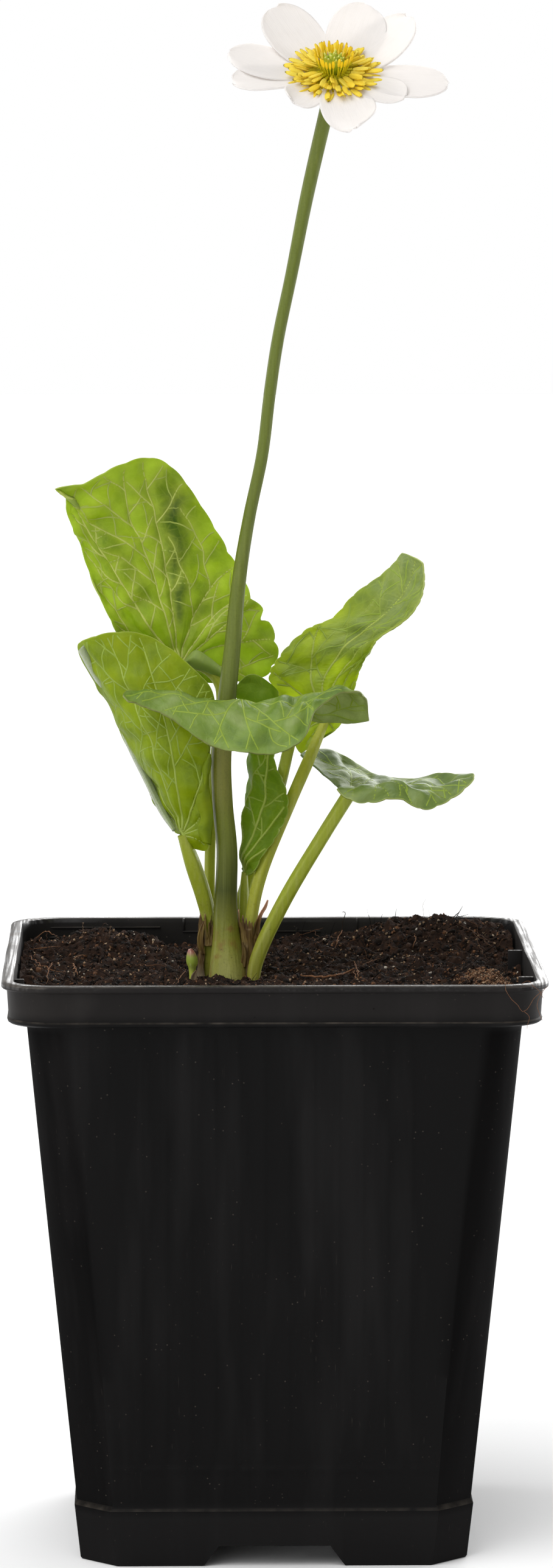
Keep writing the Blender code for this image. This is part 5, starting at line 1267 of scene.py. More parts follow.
def grow_veins(room, mains, seed):
    """Veins on a flat leaf. Each side vein ends at the margin or where it meets another vein."""
    draw = np.random.default_rng(seed)
    queue = [(np.zeros(2), math.radians(angle), 0) for angle in mains]
    drawn = np.zeros((0, 2))
    veins = []
    while queue:
        start, heading, level = queue.pop(0)
        rule = VEIN_LEVELS[level]
        bend = draw.normal() * VEIN_BEND
        path = [start]
        headings = [heading]
        while len(path) * VEIN_STEP < rule["longest"]:
            heading += bend + draw.normal() * rule["wander"]
            spot = path[-1] + VEIN_STEP * np.array([math.sin(heading), math.cos(heading)])
            if room(spot) < VEIN_STOPS:
                break
            path.append(spot)
            headings.append(heading)
            if level and len(path) > VEIN_FEWEST:
                if np.min(np.linalg.norm(drawn - spot, axis=1)) < VEIN_MEETS:
                    break
        if len(path) < VEIN_FEWEST:
            continue
        veins.append((np.array(path), level))
        drawn = np.concatenate([drawn, path])
        hand = draw.choice([-1, 1])
        at = rule["first"] + draw.uniform(0, rule["gap"] / 2)
        while at < (len(path) - 3) * VEIN_STEP:
            k = int(at / VEIN_STEP)
            turn = hand * rule["turn"] * draw.uniform(0.8, 1.2)
            queue.append((path[k], headings[k] + turn, level + 1))
            hand = -hand
            at += rule["gap"] / 2 * draw.uniform(0.6, 1.4)
    return veins


def on_sheet(grid, lines, rows, spots):
    """Places on a curved sheet, for pairs that pick a line by its value and then a row by its own."""
    places = []
    for first, second in spots:
        line = np.interp(first, lines, np.arange(len(lines)))
        low = min(int(line), len(lines) - 2)
        table = rows[low] + (rows[low + 1] - rows[low]) * (line - low)
        strip = grid[low] + (grid[low + 1] - grid[low]) * (line - low)
        row = np.interp(second, table, np.arange(len(table)))
        k = min(int(row), len(table) - 2)
        places.append(strip[k] + (strip[k + 1] - strip[k]) * (row - k))
    return np.array(places)


def from_nearest(places, marks):
    """How far each flat place of a grid is from the nearest of the marks."""
    return np.array([np.sqrt((((line[:, None] - marks) ** 2).sum(axis=2)).min(axis=1)) for line in places])


def leaf_skin(name, look):
    """Living leaf: a satin green skin with a faint net, through which light comes from behind."""
    material, bench = new_paint(name)
    x, y, edge = bench.parts(bench.attribute("flat", "Vector"))
    below = bench.attribute("under")
    below = below if look["face"] > 0 else 1.0 - below
    near = bench.attribute("near_vein")
    shade = bench.attribute("shade")
    sheet = bench.join(x, y)
    warp = bench.noise(sheet, 2.2, 2.0)
    bent = bench.join(x + warp * 1.6, y + warp * 1.3)
    net = clamp(1.0 - bench.cells(bent, 1.5, "DISTANCE_TO_EDGE") * 9)
    cloud = clamp((bench.noise(sheet, look["patch"], 3.0) - 0.5) * look["contrast"] + 0.5)
    mottle = bench.noise(sheet, 0.9, 4.0)
    grain = bench.noise(sheet, 0.28, 2.0)
    top = bench.blend(cloud * 2.0, look["dark"], look["top"])
    top = bench.blend(cloud * 2.0 - 1.0, top, look["pale"])
    base = bench.coats(
        bench.blend(below, top, look["under"]),
        (past(mottle, 0.4, 2) * 0.25, look["dark"]),
        (past(grain, 0.5, 3) * 0.25, look["pale"]),
        # Painted shade over folds; on the tall right leaf, a painted grey satin sheen.
        (shade * (0.7 + mottle * 0.5), look["deep_green"]),
        (near * look["halo"], look["vein"]),
        (net * look["net"], look["vein"]),
        (clamp(1.0 - edge / LEAF_RIM) * look["rim_mix"], look["rim"]),
        (past(bench.noise(sheet, 1.6, 3.0), 0.71, 9) * look["fleck"], (96, 80, 30)))
    finish_paint(bench, base, clamp(look["rough"] + (mottle - 0.5) * 0.3), shine=look["shine"],
                 height=mottle * 0.5 + grain * 0.2 + net * 0.15, depth=look["quilt"], glow=look["glow"],
                 through=look["through"] * (0.5 + cloud * 0.9) * (1.0 - shade * 0.8))
    return material


vein_paint, bench = new_paint("leaf_vein")
tone = bench.attribute("tone")
along = bench.attribute("along")
colour = bench.coats(
    bench.blend(tone, (222, 230, 124), (130, 152, 38)),
    (along * along * 0.35, (140, 166, 40)))
finish_paint(bench, colour, 0.5, glow=(214, 220, 80), through=0.4 - tone * 0.3)

# Living stalk: fine pale lines along it, brown flecks, darker and browner towards the crown.
stalk_paint, bench = new_paint("leaf_stalk")
spot = bench.place()
z = bench.parts(spot)[2]
line = bench.noise(spot, 0.5, 3.0, stretch=(1.0, 1.0, 0.06))
grain = bench.noise(spot, 0.3, 3.0)
fleck = past(bench.noise(spot, 0.7, 3.0), 0.64, 9) * past(z, 122.0, -0.04)
colour = bench.coats(
    bench.blend(bench.attribute("tone"), (180, 182, 60), (136, 160, 40)),
    (clamp((105.0 - z + line * 9) * 0.06), (140, 136, 56)),
    (past(line, 0.45, 4) * 0.25, (206, 208, 132)),
    (past(grain, 0.5, 4) * 0.3, (116, 122, 34)),
    (fleck * 0.7, (84, 52, 26)))
finish_paint(bench, colour, 0.42, shine=0.3, height=line, depth=0.12, glow=(206, 214, 70), through=0.25)


def flap_bands(steps, *bands):
    """Bands across a flap. Each gives its depth, then x and z of points that stand off by the steps."""
    return [[(x, depth + step, z) for (x, z), step in zip(spots, steps)] for depth, *spots in bands]


# The left leaf's rolled margin and the fold beside it, and an ear of the leaf behind.
LEFT_LEAF_ROLLS = [
    flap_bands((0, -0.5, 0.1, 1.0),
               (5.7, (-31.3, 150.7), (-32.1, 150.1), (-32.4, 149.6), (-32.6, 149.5)),
               (5.9, (-29.3, 146.7), (-30.2, 146.3), (-30.5, 146.1), (-30.8, 146.1)),
               (5.9, (-27.0, 142.3), (-27.8, 142.1), (-28.1, 142.0), (-28.3, 141.9)),
               (5.9, (-25.1, 137.8), (-25.9, 137.9), (-26.1, 138.0), (-26.3, 137.9)),
               (5.5, (-22.7, 133.3), (-23.6, 133.0), (-24.0, 132.9), (-24.2, 132.8)),
               (4.2, (-20.3, 127.5), (-21.0, 127.3), (-21.2, 127.3), (-21.4, 127.2)),
               (2.1, (-18.1, 123.0), (-18.7, 122.7), (-18.7, 122.4), (-18.9, 122.3)),
               (-1.5, (-16.2, 119.7), (-16.6, 119.6), (-16.4, 119.5), (-16.6, 119.4))),
    flap_bands((0, -0.3, 0.6),
               (-3.0, (-10.6, 133.0), (-10.4, 132.8), (-10.3, 132.5)),
               (-3.0, (-11.6, 130.3), (-10.9, 130.7), (-10.2, 131.0)),
               (-3.0, (-11.5, 127.9), (-11.1, 128.1), (-10.7, 128.3)),
               (-3.0, (-12.7, 124.8), (-11.5, 125.0), (-10.3, 125.2)),
               (-3.0, (-11.9, 122.0), (-10.9, 122.3), (-9.9, 122.5)),
               (-3.0, (-12.4, 119.8), (-11.2, 119.8), (-10.1, 119.6)),
               (-3.0, (-11.5, 117.7), (-10.9, 117.6), (-10.3, 117.2))),
]
BACK_LEAF_EAR = flap_bands(
    (0, -1.3, -0.6),
    (6.8, (-14.9, 146.9), (-14.7, 147.4), (-14.4, 147.8)),
    (6.0, (-13.1, 146.5), (-12.9, 148.1), (-12.7, 149.5)),
    (6.2, (-10.8, 145.8), (-10.7, 147.1), (-10.5, 148.3)),
    (7.4, (-8.1, 144.4), (-8.0, 145.3), (-7.9, 146.0)))

# How each leaf looks. "face" is +1 where the grid's outer side is the leaf's upper side, "deep" is
# the depth of its teeth at shares of the margin, "mains" are the angles of its main veins, and
# "shades" are bands of painted shade over folds, in its painted shade colour: angle, spread,
# from where, to where, how deep.
COMMON = dict(face=1, middle=0.5, heart=None, halo=0.12, net=0.1, rim=(205, 215, 120), rim_mix=0.4,
              fleck=0.3, quilt=0.12, rough=0.4, shine=0.36, patch=6.0, contrast=3.2, through=0.25,
              wave=0.2, waves=7, relief=0.4, crease=0.6, puff=0.35, flaps=[], curl={}, shades=[],
              deep_green=(44, 76, 6), deep=[(0, 0.3), (1, 0.3)],
              mains=[-140, -112, -86, -62, -40, -19, 2, 24, 46, 70, 95, 122, 148],
              vein_tone=0.2, stalk_tone=0.5)
LOOKS = {
    "leaf_back_left": dict(
        dark=(96, 126, 14), top=(150, 174, 26), pale=(188, 204, 64), under=(150, 168, 92),
        vein=(196, 208, 80), glow=(190, 220, 6), through=0.34, face=-1, middle=0.42, stalk_tone=0.3,
        relief=0.5, crease=0.8, shine=0.2, contrast=2.2, flaps=[BACK_LEAF_EAR], halo=0.45, wave=0.1,
        vein_tone=0.0, mains=[-110, -85, -65, -47, -28, -10, 11, 25, 46, 66, 90, 115],
        shades=[(6, 7, 4, 34, 1.0), (33, 6, 10, 26, 0.5), (-20, 6, 3, 16, 0.5)],
        deep=[(0, 0.8), (0.185, 0.8), (0.2, 3.0), (0.215, 0.8), (0.28, 0.8), (0.36, 0.2), (0.7, 0.2),
              (0.75, 0.3), (1, 0.35)]),
    "leaf_left": dict(
        dark=(92, 114, 6), top=(126, 146, 10), pale=(156, 170, 20), under=(110, 124, 74),
        vein=(170, 184, 50), glow=(190, 210, 6), through=0.34, middle=0.4, contrast=2.4, vein_tone=0.85,
        relief=0.25, puff=0.3, shine=0.2, deep=[(0, 0.15), (1, 0.15)], flaps=LEFT_LEAF_ROLLS,
        curl=dict(dark=(112, 126, 86), top=(140, 152, 114), pale=(184, 190, 168),
                  under=(140, 152, 114), shine=0.7, rough=0.3, through=0.1)),
    "leaf_front": dict(
        dark=(82, 108, 36), top=(110, 134, 52), pale=(134, 152, 84), under=(152, 166, 96),
        vein=(130, 160, 50), glow=(150, 176, 50), through=0.16, face=-1, rough=0.42, halo=0.3,
        heart=(-5.0, -3.4, 141.6), relief=0.22, vein_tone=1.0, rim=(120, 110, 60), contrast=3.4,
        deep=[(0, 0.12), (1, 0.12)], crease=0.0, patch=5.0, puff=0.3, shine=0.3,
        mains=[92, 64, 118, 38, 146, 12, 172, -40, -140]),
    "leaf_right_tall": dict(
        dark=(104, 128, 14), top=(138, 158, 22), pale=(168, 180, 50), under=(110, 132, 40),
        vein=(200, 208, 90), glow=(210, 226, 20), through=0.42, stalk_tone=0.1, wave=0.05, crease=0.0,
        vein_tone=0.55, puff=0.25, face=-1, shine=0.4, deep=[(0, 0.45), (0.5, 0.35), (1, 0.15)],
        # Its painted shade is grey-green: a painted satin sheen over the darker middle of the blade.
        shades=[(2, 24, 10, 60, 0.85)], deep_green=(106, 124, 66),
        mains=[-150, -122, -96, -70, -47, -26, -8, 10, 30, 60, 100, 140]),
    "leaf_right_low": dict(
        dark=(62, 88, 20), top=(90, 114, 38), pale=(124, 142, 72), under=(80, 102, 30),
        vein=(140, 156, 60), glow=(140, 166, 20), through=0.15, vein_tone=1.0, halo=0.3, shine=0.6,
        rough=0.5),
    "leaf_centre": dict(
        dark=(84, 120, 4), top=(118, 152, 6), pale=(160, 184, 12), under=(100, 130, 20),
        vein=(170, 184, 60), glow=(170, 200, 6), through=0.3, rough=0.45, shine=0.15, vein_tone=0.9,
        mains=[-48, -30, -12, 4, 20, 40]),
}


def loose_flap(name, bands, skin):
    """A curled or folded bit of margin, given by bands of points across it."""
    lines = smooth_at(np.array(bands), np.linspace(0, len(bands) - 1, FLAP_COLUMNS))
    grid = np.array([smooth_at(line, np.linspace(0, len(line) - 1, FLAP_ROWS)) for line in lines])
    along = run_along(grid[:, FLAP_ROWS // 2])
    across = np.linspace(0, FLAP_WIDTH, FLAP_ROWS)
    flat = np.stack(np.broadcast_arrays(across[None], along[:, None], 0.4), axis=-1)
    return shell(name, grid, BLADE_THICK, skin, flat=flat)


def fan_blade(leaf, look, depth):
    """A round blade: its grid, flat places, distance and nearness of the margin, and its lookups."""
    grid, angle, reach = fan_grid(leaf["joint"], leaf["rays"], depth)
    angle -= np.interp(look["middle"], np.linspace(0, 1, BLADE_COLUMNS), angle)
    x = reach * np.sin(angle)[:, None]
    y = reach * np.cos(angle)[:, None]

    def keys(spots):
        turns = np.arctan2(spots[:, 0], spots[:, 1])
        return np.column_stack([turns, np.hypot(spots[:, 0], spots[:, 1])])

    def room(spot):
        turn, far = keys(spot[None])[0]
        aside = min(turn - angle[0], angle[-1] - turn)
        side = far * math.sin(aside) if abs(aside) < 1 else far * math.copysign(1, aside)
        return min(np.interp(turn, angle, reach[:, -1]) - far, side if far > 1 else 1.0)

    return grid, x, y, reach[:, -1:] - reach, reach / reach[:, -1:], angle, reach, keys, room


def band_blade(leaf, look, depth):
    """The same of a folded blade, whose flat places are counted from the heart of the leaf."""
    grid, along, across = band_grid(leaf["bands"], depth)
    apart = np.linalg.norm(grid - np.array(look["heart"] or leaf["stalk"][0]), axis=-1)
    near = np.unravel_index(np.argmin(apart), apart.shape)
    x = across - across[near]
    y = along[:, None] - along[near[0]] + 0 * x
    ends = np.minimum(along, along[-1] - along)[:, None]
    edge = np.minimum(np.minimum(across - across[:, :1], across[:, -1:] - across), ends)
    lines = y[:, 0]

    def keys(spots):
        return spots[:, ::-1]

    def room(spot):
        low = np.interp(spot[1], lines, x[:, 0])
        high = np.interp(spot[1], lines, x[:, -1])
        return min(spot[0] - low, high - spot[0], spot[1] - lines[0], lines[-1] - spot[1])

    return grid, x, y, edge, 1 - np.clip(edge / WAVE_REACH, 0, 1), lines, x, keys, room


def fold_shade(x, y, folds):
    """Painted shade of folds on flat places: angle, spread, from where, to where and how deep each is."""
    shade = 0 * x
    far = np.hypot(x, y)
    for middle, spread, start, stop, deep in folds:
        off = (np.degrees(np.arctan2(x, y)) - middle) / spread
        ends = np.clip((far - start) / 4, 0, 1) * np.clip((stop - far) / 6, 0, 1)
        shade = np.maximum(shade, deep * np.exp(-off ** 2) * ends)
    return shade


def make_leaf(name, leaf, look):
    """Blade, veins, stalk and loose flaps. The veins lie in soft valleys of the toothed blade."""
    run = np.linspace(0, 1, BLADE_COLUMNS)
    depth = tooth_depth(run, leaf["teeth"], look["deep"])
    blade_of = fan_blade if "rays" in leaf else band_blade
    grid, x, y, edge, share, lines, rows, keys, room = blade_of(leaf, look, depth)
    veins = grow_veins(room, look["mains"], len(name))
    spots = np.stack([x, y], axis=-1)
    from_main = from_nearest(spots, np.concatenate([path for path, level in veins if level == 0]))
    from_side = from_nearest(spots, np.concatenate([path for path, level in veins if level < 2]))
    up = facing_of(grid) * look["face"]
    fade = np.clip(edge / RIM_CALM, 0, 1) * np.clip(np.hypot(x, y) / HEART_CALM, 0, 1)
    deeper = 1 + look["crease"] * np.exp(-(np.arctan2(x, y) / MIDDLE_SPREAD) ** 2)
    valleys = deeper * np.exp(-from_main / MAIN_VALLEY) + 0.5 * np.exp(-from_side / SIDE_VALLEY)
    sunk = look["relief"] * valleys * fade
    swing = look["wave"] * np.sin(2 * math.pi * look["waves"] * run[:, None] + 0.7) * share ** 4
    puff = look["puff"] * ripple(spots, PUFF_LENGTH, 40) + FINE_PUFF * ripple(spots, FINE_PUFF_LENGTH, 41)
    grid = grid + up * (swing - sunk + puff * fade)[..., None]
    skin = leaf_skin(name + "_skin", look)
    blade = shell(name, grid, BLADE_THICK, skin, flat=np.stack([x, y, edge], axis=-1),
                  near_vein=np.exp(-from_side / VEIN_HALO), shade=fold_shade(x, y, look["shades"]))
    strands, sides = [], []
    for path, level in veins:
        thick = np.linspace(*VEIN_LEVELS[level]["thick"], len(path))
        places = on_sheet(grid, lines, rows, keys(path))
        strands.append((places, thick))
        sides.append(np.cross(np.gradient(places, axis=0), on_sheet(up, lines, rows, keys(path))))
    tones = [min(1.0, look["vein_tone"] + VEIN_TONE_STEP * level) for path, level in veins]
    net = skin_paths(name + "_veins", strands, VEIN_SIDES, vein_paint, tone=tones, sides=sides)
    path = strand(leaf["stalk"], leaf["radii"], STALK_STEPS)
    stalk = skin_paths(name + "_stalk", [path], STALK_SIDES, stalk_paint, ribs=5, depth=0.07,
                       tone=[look["stalk_tone"]])
    curled = leaf_skin(name + "_curl", {**look, **look["curl"]}) if look["flaps"] else None
    covers = zip(look["flaps"], [curled, skin])
    flaps = [loose_flap(name + "_flap", bands, cover) for bands, cover in covers]
    return piece(name + "_living", blade, net, stalk, *flaps)


for name, leaf in LEAVES.items():
    leaf_piece = make_leaf(name, leaf, {**COMMON, **LOOKS[name]})
    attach(leaf_piece, "root")
    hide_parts(name)

# Young shoot: a pale green point of furled leaf, brown at its tip, which stands beside the crown.
SHOOT_PATH = [(-13.5, -2.4, STALK_FOOT), (-13.4, -2.4, 95.2), (-13.4, -2.6, 97.2), (-13.6, -2.8, 98.7),
              (-13.8, -2.8, 99.6)]
SHOOT_RADII = [0.4, 0.5, 0.95, 0.75, 0.25]
SHOOT_STEPS = 26
SHOOT_SIDES = 18
SCALE_PATH = [(-13.2, -2.9, 93.6), (-13.0, -3.2, 95.0), (-12.7, -3.4, 96.0)]
SCALE_WIDTH = [1.0, 0.9, 0.2]


shoot_paint, bench = new_paint("shoot")
spot = bench.place()
z = bench.parts(spot)[2]
line = bench.noise(spot, 0.5, 3.0, stretch=(1.0, 1.0, 0.08))
colour = bench.coats(
    bench.blend(past(z, 95.0, 0.4), (170, 180, 70), (140, 158, 56)),
    (clamp((z - 98.6 + line) * 1.1), (150, 96, 84)),
    (past(line, 0.5, 4) * 0.4, (224, 226, 176)))
finish_paint(bench, colour, 0.45, height=line, depth=0.1)
point = strand(SHOOT_PATH, SHOOT_RADII, SHOOT_STEPS)
shoot = piece("young_shoot", skin_paths("shoot", [point], SHOOT_SIDES, shoot_paint, ribs=3, depth=0.1),
              ribbon("shoot_scale", SCALE_PATH, SCALE_WIDTH, (-0.3, -1, 0), dry_husk, curl=0.8))
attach(shoot, "root")
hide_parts("bud")

# Flower stalk: one tall, smooth, slightly ribbed green stalk. It grows thinner on its way up, and
# spreads under the bloom into the disc that the petals, stamens and pods stand on.
STEM_PATH = [(-7.3, -0.6, STALK_FOOT), (-7.3, -0.6, 93), (-7.4, -0.5, 97), (-7.6, -0.3, 101.5),
             (-7.7, 0, 107.5), (-7.5, 0, 116), (-8.2, 0, 124), (-8.4, 0, 132), (-7.5, 0, 141.5),
             (-6.6, 0, 150), (-5.4, 0, 162), (-3.7, 0, 172.5), (-1.5, 0, 183), (-0.2, 0, 193.5),
             (1.2, 0, 202.7), (3.4, 0, 213.2), (6.0, 0, 226.3), (9.0, -0.1, 239.4), (9.9, -0.5, 243)]
STEM_RADII = [3.5, 3.4, 2.95, 2.3, 1.95, 1.78, 1.72, 1.68, 1.55, 1.4, 1.2, 1.05, 1.02, 1.02, 1.02, 1.02,
              1.12, 1.2, 1.25]
STEM_SIDES = 24
STEM_STEPS = 150
# The disc: how far up the flower's axis its points are, and their radii.
DISC_HEIGHTS = np.array([-1.6, -1.0, -0.6, -0.3, 0.0, 0.4])
DISC_RADII = [1.35, 1.5, 1.75, 2.0, 2.15, 2.15]
SCAR_X = -6.9
SCAR_Z = 102.9
FLOWER_CENTRE = np.array([10.4, -2.0, 246.3])
FLOWER_TILT = math.radians(32)


def flower_points(across, along, up):
    """Places of the flower: across to the right, along the disc to the back, up its axis."""
    c = math.cos(FLOWER_TILT)
    s = math.sin(FLOWER_TILT)
    across, along, up = np.broadcast_arrays(across, along, up)
    out = np.stack([across, along * c - up * s, along * s + up * c], axis=-1)
    return out + FLOWER_CENTRE


def flower_turn(reach, turn, up):
    """Places of the flower at a reach from its axis, at a turn about it."""
    return flower_points(reach * math.cos(turn), reach * math.sin(turn), up)


stem_paint, bench = new_paint("flower_stalk")
spot = bench.place()
x, y, z = bench.parts(spot)
line = bench.noise(spot, 0.6, 3.0, stretch=(1.0, 1.0, 0.05))
cloud = bench.noise(spot, 8.0, 3.0)
grain = bench.noise(spot, 0.35, 3.0)
fleck = past(bench.noise(spot, 0.6, 4.0), 0.66, 9) * past(z, 135.0, -0.05)
stain = past(bench.noise(spot, 2.6, 4.0), 0.52, 7) * past(z, 103.5, -0.3)
scar = maths("ABSOLUTE", x - SCAR_X) * 1.3 + maths("ABSOLUTE", z - SCAR_Z) * 2.0
colour = bench.ramp(clamp((z - 93.0 + cloud * 4.0) * 0.02), (0.0, (160, 158, 92)), (0.2, (126, 128, 40)),
                    (0.36, (64, 72, 6)), (0.6, (106, 114, 34)), (0.72, (120, 120, 48)),
                    (0.86, (122, 122, 50)), (0.94, (104, 118, 34)), (1.0, (94, 105, 36)))
colour = bench.coats(
    colour,
    (past(cloud, 0.4, 3) * 0.25, (82, 94, 20)),
    (past(line, 0.5, 4) * 0.2, (140, 146, 76)),
    (past(grain, 0.5, 4) * 0.25, (66, 72, 20)),
    (stain * 0.6, (120, 82, 34)),
    (clamp(1.5 - scar + (grain - 0.5) * 2) * 0.6, (112, 74, 32)),
    (fleck * 0.6, (60, 42, 26)))
finish_paint(bench, colour, 0.4, shine=0.25, height=line, depth=0.15)
path, radii = strand(STEM_PATH, STEM_RADII, STEM_STEPS)
path = np.concatenate([path, flower_points(0.0, 0.0, DISC_HEIGHTS)])
radii = np.concatenate([radii, DISC_RADII])
stem = piece("flower_stalk", skin_paths("flower_stalk", [(path, radii)], STEM_SIDES, stem_paint, ribs=6,
                                        depth=0.035))
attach(stem, "root")
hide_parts("flower_stem")

# Petals: nine thin, matt, off-white petal-like sepals, cupped and veined lengthwise, rooted round
# the disc. Angle round the flower, length, width, rise of the tip, turn about its own middle line.
PETALS = [
    (124, 17.4, 10.2, 4.3, 0.0),
    (67, 15.8, 10.2, 4.8, 0.1),
    (40, 16.6, 10.0, 4.9, -0.15),
    (-9, 19.2, 9.4, 0.3, 0.1),
    (-31, 13.6, 6.4, 0.2, 0.3),
    (-78, 15.2, 9.4, -0.8, 0.1),
    (-128, 11.2, 6.6, 0.2, -0.4),
    (187, 17.0, 6.8, 0.5, -0.1),
    (165, 18.0, 9.2, 1.7, 0.0),
]
PETAL_WIDEST = 0.62
PETAL_ROOT = 1.3
PETAL_BOW = 0.5
PETAL_FOOT = 0.3
PETAL_WAVE = 0.05
PETAL_TILT = 0.08
PETAL_GROOVE = 0.025
PETAL_BUCKLE = 0.4
PETAL_THICK = 0.3
PETAL_LINES = 40
PETAL_ACROSS = 31

petal_paint, bench = new_paint("petal")
side, out, spread = bench.parts(bench.attribute("flat", "Vector"))
vein = bench.noise(bench.join(side, out * 0.06), 0.55, 2.0)
vein = clamp(1.0 - maths("ABSOLUTE", vein - 0.5) * 22)
cloud = bench.noise(bench.place(), 4.0, 3.0)
grain = bench.noise(bench.place(), 0.3, 2.0)
colour = bench.coats(
    bench.blend(cloud, (238, 235, 232), (246, 243, 241)),
    (vein * 0.07, (206, 200, 192)),
    (past(cloud, 0.6, 6) * 0.12, (226, 220, 200)),
    (past(spread, 0.34, -4) * 0.7, (206, 204, 168)))
finish_paint(bench, colour, 0.55, shine=0.3, height=vein * 0.3 + grain * 0.3, depth=0.03,
             glow=(240, 235, 231), through=0.3)


def make_petal(number, angle, length, width, rise, twist):
    """One thin cupped petal: fine grooves along it, a wavy rim, and a soft fold by its middle."""
    turn = math.radians(angle)
    share = 1 - (1 - np.linspace(0, 1, PETAL_LINES)[:, None]) ** 1.7
    grown = np.clip(share / PETAL_WIDEST, 0, 1)
    ended = np.clip((share - PETAL_WIDEST) / (1.005 - PETAL_WIDEST), 0, 1)
    spread = PETAL_FOOT + (1 - PETAL_FOOT) * np.sin(grown * math.pi / 2) ** 1.1
    spread = spread * (1 - ended ** 2.3) ** 0.5
    t = np.linspace(-1, 1, PETAL_ACROSS)[None, :]
    side = t * spread * width / 2
    side = side * (1 + PETAL_WAVE * np.sin(5 * share + 2 * number + 2 * t))
    reach = PETAL_ROOT + (length - PETAL_ROOT) * share + 0 * t
    up = rise * share ** 2 + PETAL_BOW * spread * share * t * t + twist * side * share ** 3
    up = up + PETAL_TILT * math.sin(3.1 * number) * (1 - share)
    marks = np.stack([side * 1.6 + number * 30, reach * 0.25 + 0 * t], axis=-1)
    grooves = ripple(marks, 1.6, 60 + number)
    up = up + PETAL_GROOVE * grooves * np.clip(share * 3, 0, 1) * (1 - share)
    marks = np.stack([t * 1.2 + 0 * share, share * 1.7 + 0 * t], axis=-1)
    up = up + PETAL_BUCKLE * ripple(marks, 2.4, 80 + number) * share ** 2 * (0.25 + t ** 2)
    across = reach * math.cos(turn) - side * math.sin(turn)
    along = reach * math.sin(turn) + side * math.cos(turn)
    grid = flower_points(across, along, up)
    flat = np.stack([side + 0 * share, reach + 0 * t, share + 0 * t], axis=-1)
    return shell("petal", grid, PETAL_THICK, petal_paint, flat=flat)


petals = piece("white_petals", *[make_petal(i, *petal) for i, petal in enumerate(PETALS)])
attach(petals, "root")
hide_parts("petals")

# Stamens: a wide collar of yellow stamens round the pods. Each is a thin greenish filament with a
# broad flat anther at its end; the inner ones stand up, and the outer ones spread. Each outer layer
# has a count, a reach and a rise. The ranges that are drawn from say how much stamens differ.
OUTER_LAYERS = [(38, 7.8, 0.4), (30, 6.7, 0.9), (22, 5.4, 1.4)]
OUTER_RADII = [0.26, 0.24, 0.26]
INNER_COUNT = 28
INNER_RADII = [0.13, 0.12, 0.13]
FILAMENT_STEPS = 8
FILAMENT_SIDES = 5
FILAMENT_TONE = 0.15
ANTHER_LONG = 3.0
ANTHER_HALF = 0.5
ANTHER_FLAT = 0.62
ANTHER_SIDES = 10
# Share of the anther's length, and its width there.
ANTHER_KEYS = [(0.0, 0.2), (0.08, 0.7), (0.3, 1.0), (0.65, 1.0), (0.9, 0.7), (1.0, 0.12)]

stamen_paint, bench = new_paint("stamen")
side = bench.attribute("side")
grain = bench.noise(bench.place(), 0.25, 3.0)
colour = bench.ramp(bench.attribute("tone"), (0.0, (186, 190, 16)), (0.4, (236, 222, 20)),
                    (0.72, (255, 224, 26)), (1.0, (255, 244, 100)))
colour = bench.coats(colour, (clamp(side * 6 - 4.6) * 0.4, (244, 176, 16)),
                     (past(grain, 0.5, 4) * 0.3, (255, 240, 100)))
finish_paint(bench, colour, 0.55, height=grain, depth=0.12, glow=(255, 234, 40), through=0.4)


def anther():
    """One anther, a unit long: two pollen sacs side by side with orange seams at their edges."""
    turns = np.linspace(0, 2 * math.pi, ANTHER_SIDES, endpoint=False)
    seam = np.abs(np.cos(turns))
    scale = ANTHER_HALF / ANTHER_LONG
    rings = [np.column_stack([np.cos(turns) * wide * scale, np.full(ANTHER_SIDES, reach),
                              np.sin(turns) * (0.3 + 0.7 * seam) * wide * ANTHER_FLAT * scale])
             for reach, wide in ANTHER_KEYS]
    count = ANTHER_SIDES * len(rings)
    faces = [face[::-1] for face in grid_faces(len(rings), ANTHER_SIDES, closed=True)]
    faces += [tuple(range(ANTHER_SIDES)), tuple(range(count - ANTHER_SIDES, count))[::-1]]
    mesh = mesh_of("anther", np.concatenate(rings) / MM, faces, stamen_paint)
    keep_fact(mesh, "side", np.tile(seam ** 6, len(rings)))
    return mesh


# Shape tree: a copy of one part at each given point, turned and sized as the point says.
placed, bench, given = new_tree("copies_at_points", "Geometry", "Part", "Material")
points = bench.add("GeometryNodeMeshToPoints", {"Mesh": given["Geometry"]})
part = bench.add("GeometryNodeObjectInfo", {"Object": given["Part"]}, "Geometry")
turn = bench.add("FunctionNodeEulerToRotation", {0: bench.known("turn")})
copies = bench.add("GeometryNodeInstanceOnPoints", {
    "Points": points, "Instance": part, "Rotation": turn, "Scale": bench.known("grown")})
close_tree(bench, copies, given["Material"])


def copies_of(mesh, material, spots):
    """Copies of a part at spots: place, the way its length runs, the way its face looks, size, tone."""
    part = stand_in("part", mesh)
    turns = []
    for _, way, face, _, _ in spots:
        way = way / np.linalg.norm(way)
        right = np.cross(way, face)
        right /= np.linalg.norm(right)
        turn = Matrix(np.column_stack([right, way, np.cross(right, way)]).tolist()).to_euler()
        turns.append(turn[:])
    places, _, _, sizes, tones = zip(*spots)
    points = mesh_of("points", places, [])
    keep_fact(points, "turn", turns)
    keep_fact(points, "grown", np.array(sizes) * MM)
    keep_fact(points, "tone", tones)
    copies = grow(placed, stand_in("points", points), Part=part, Material=material)
    bpy.data.objects.remove(part)
    return copies


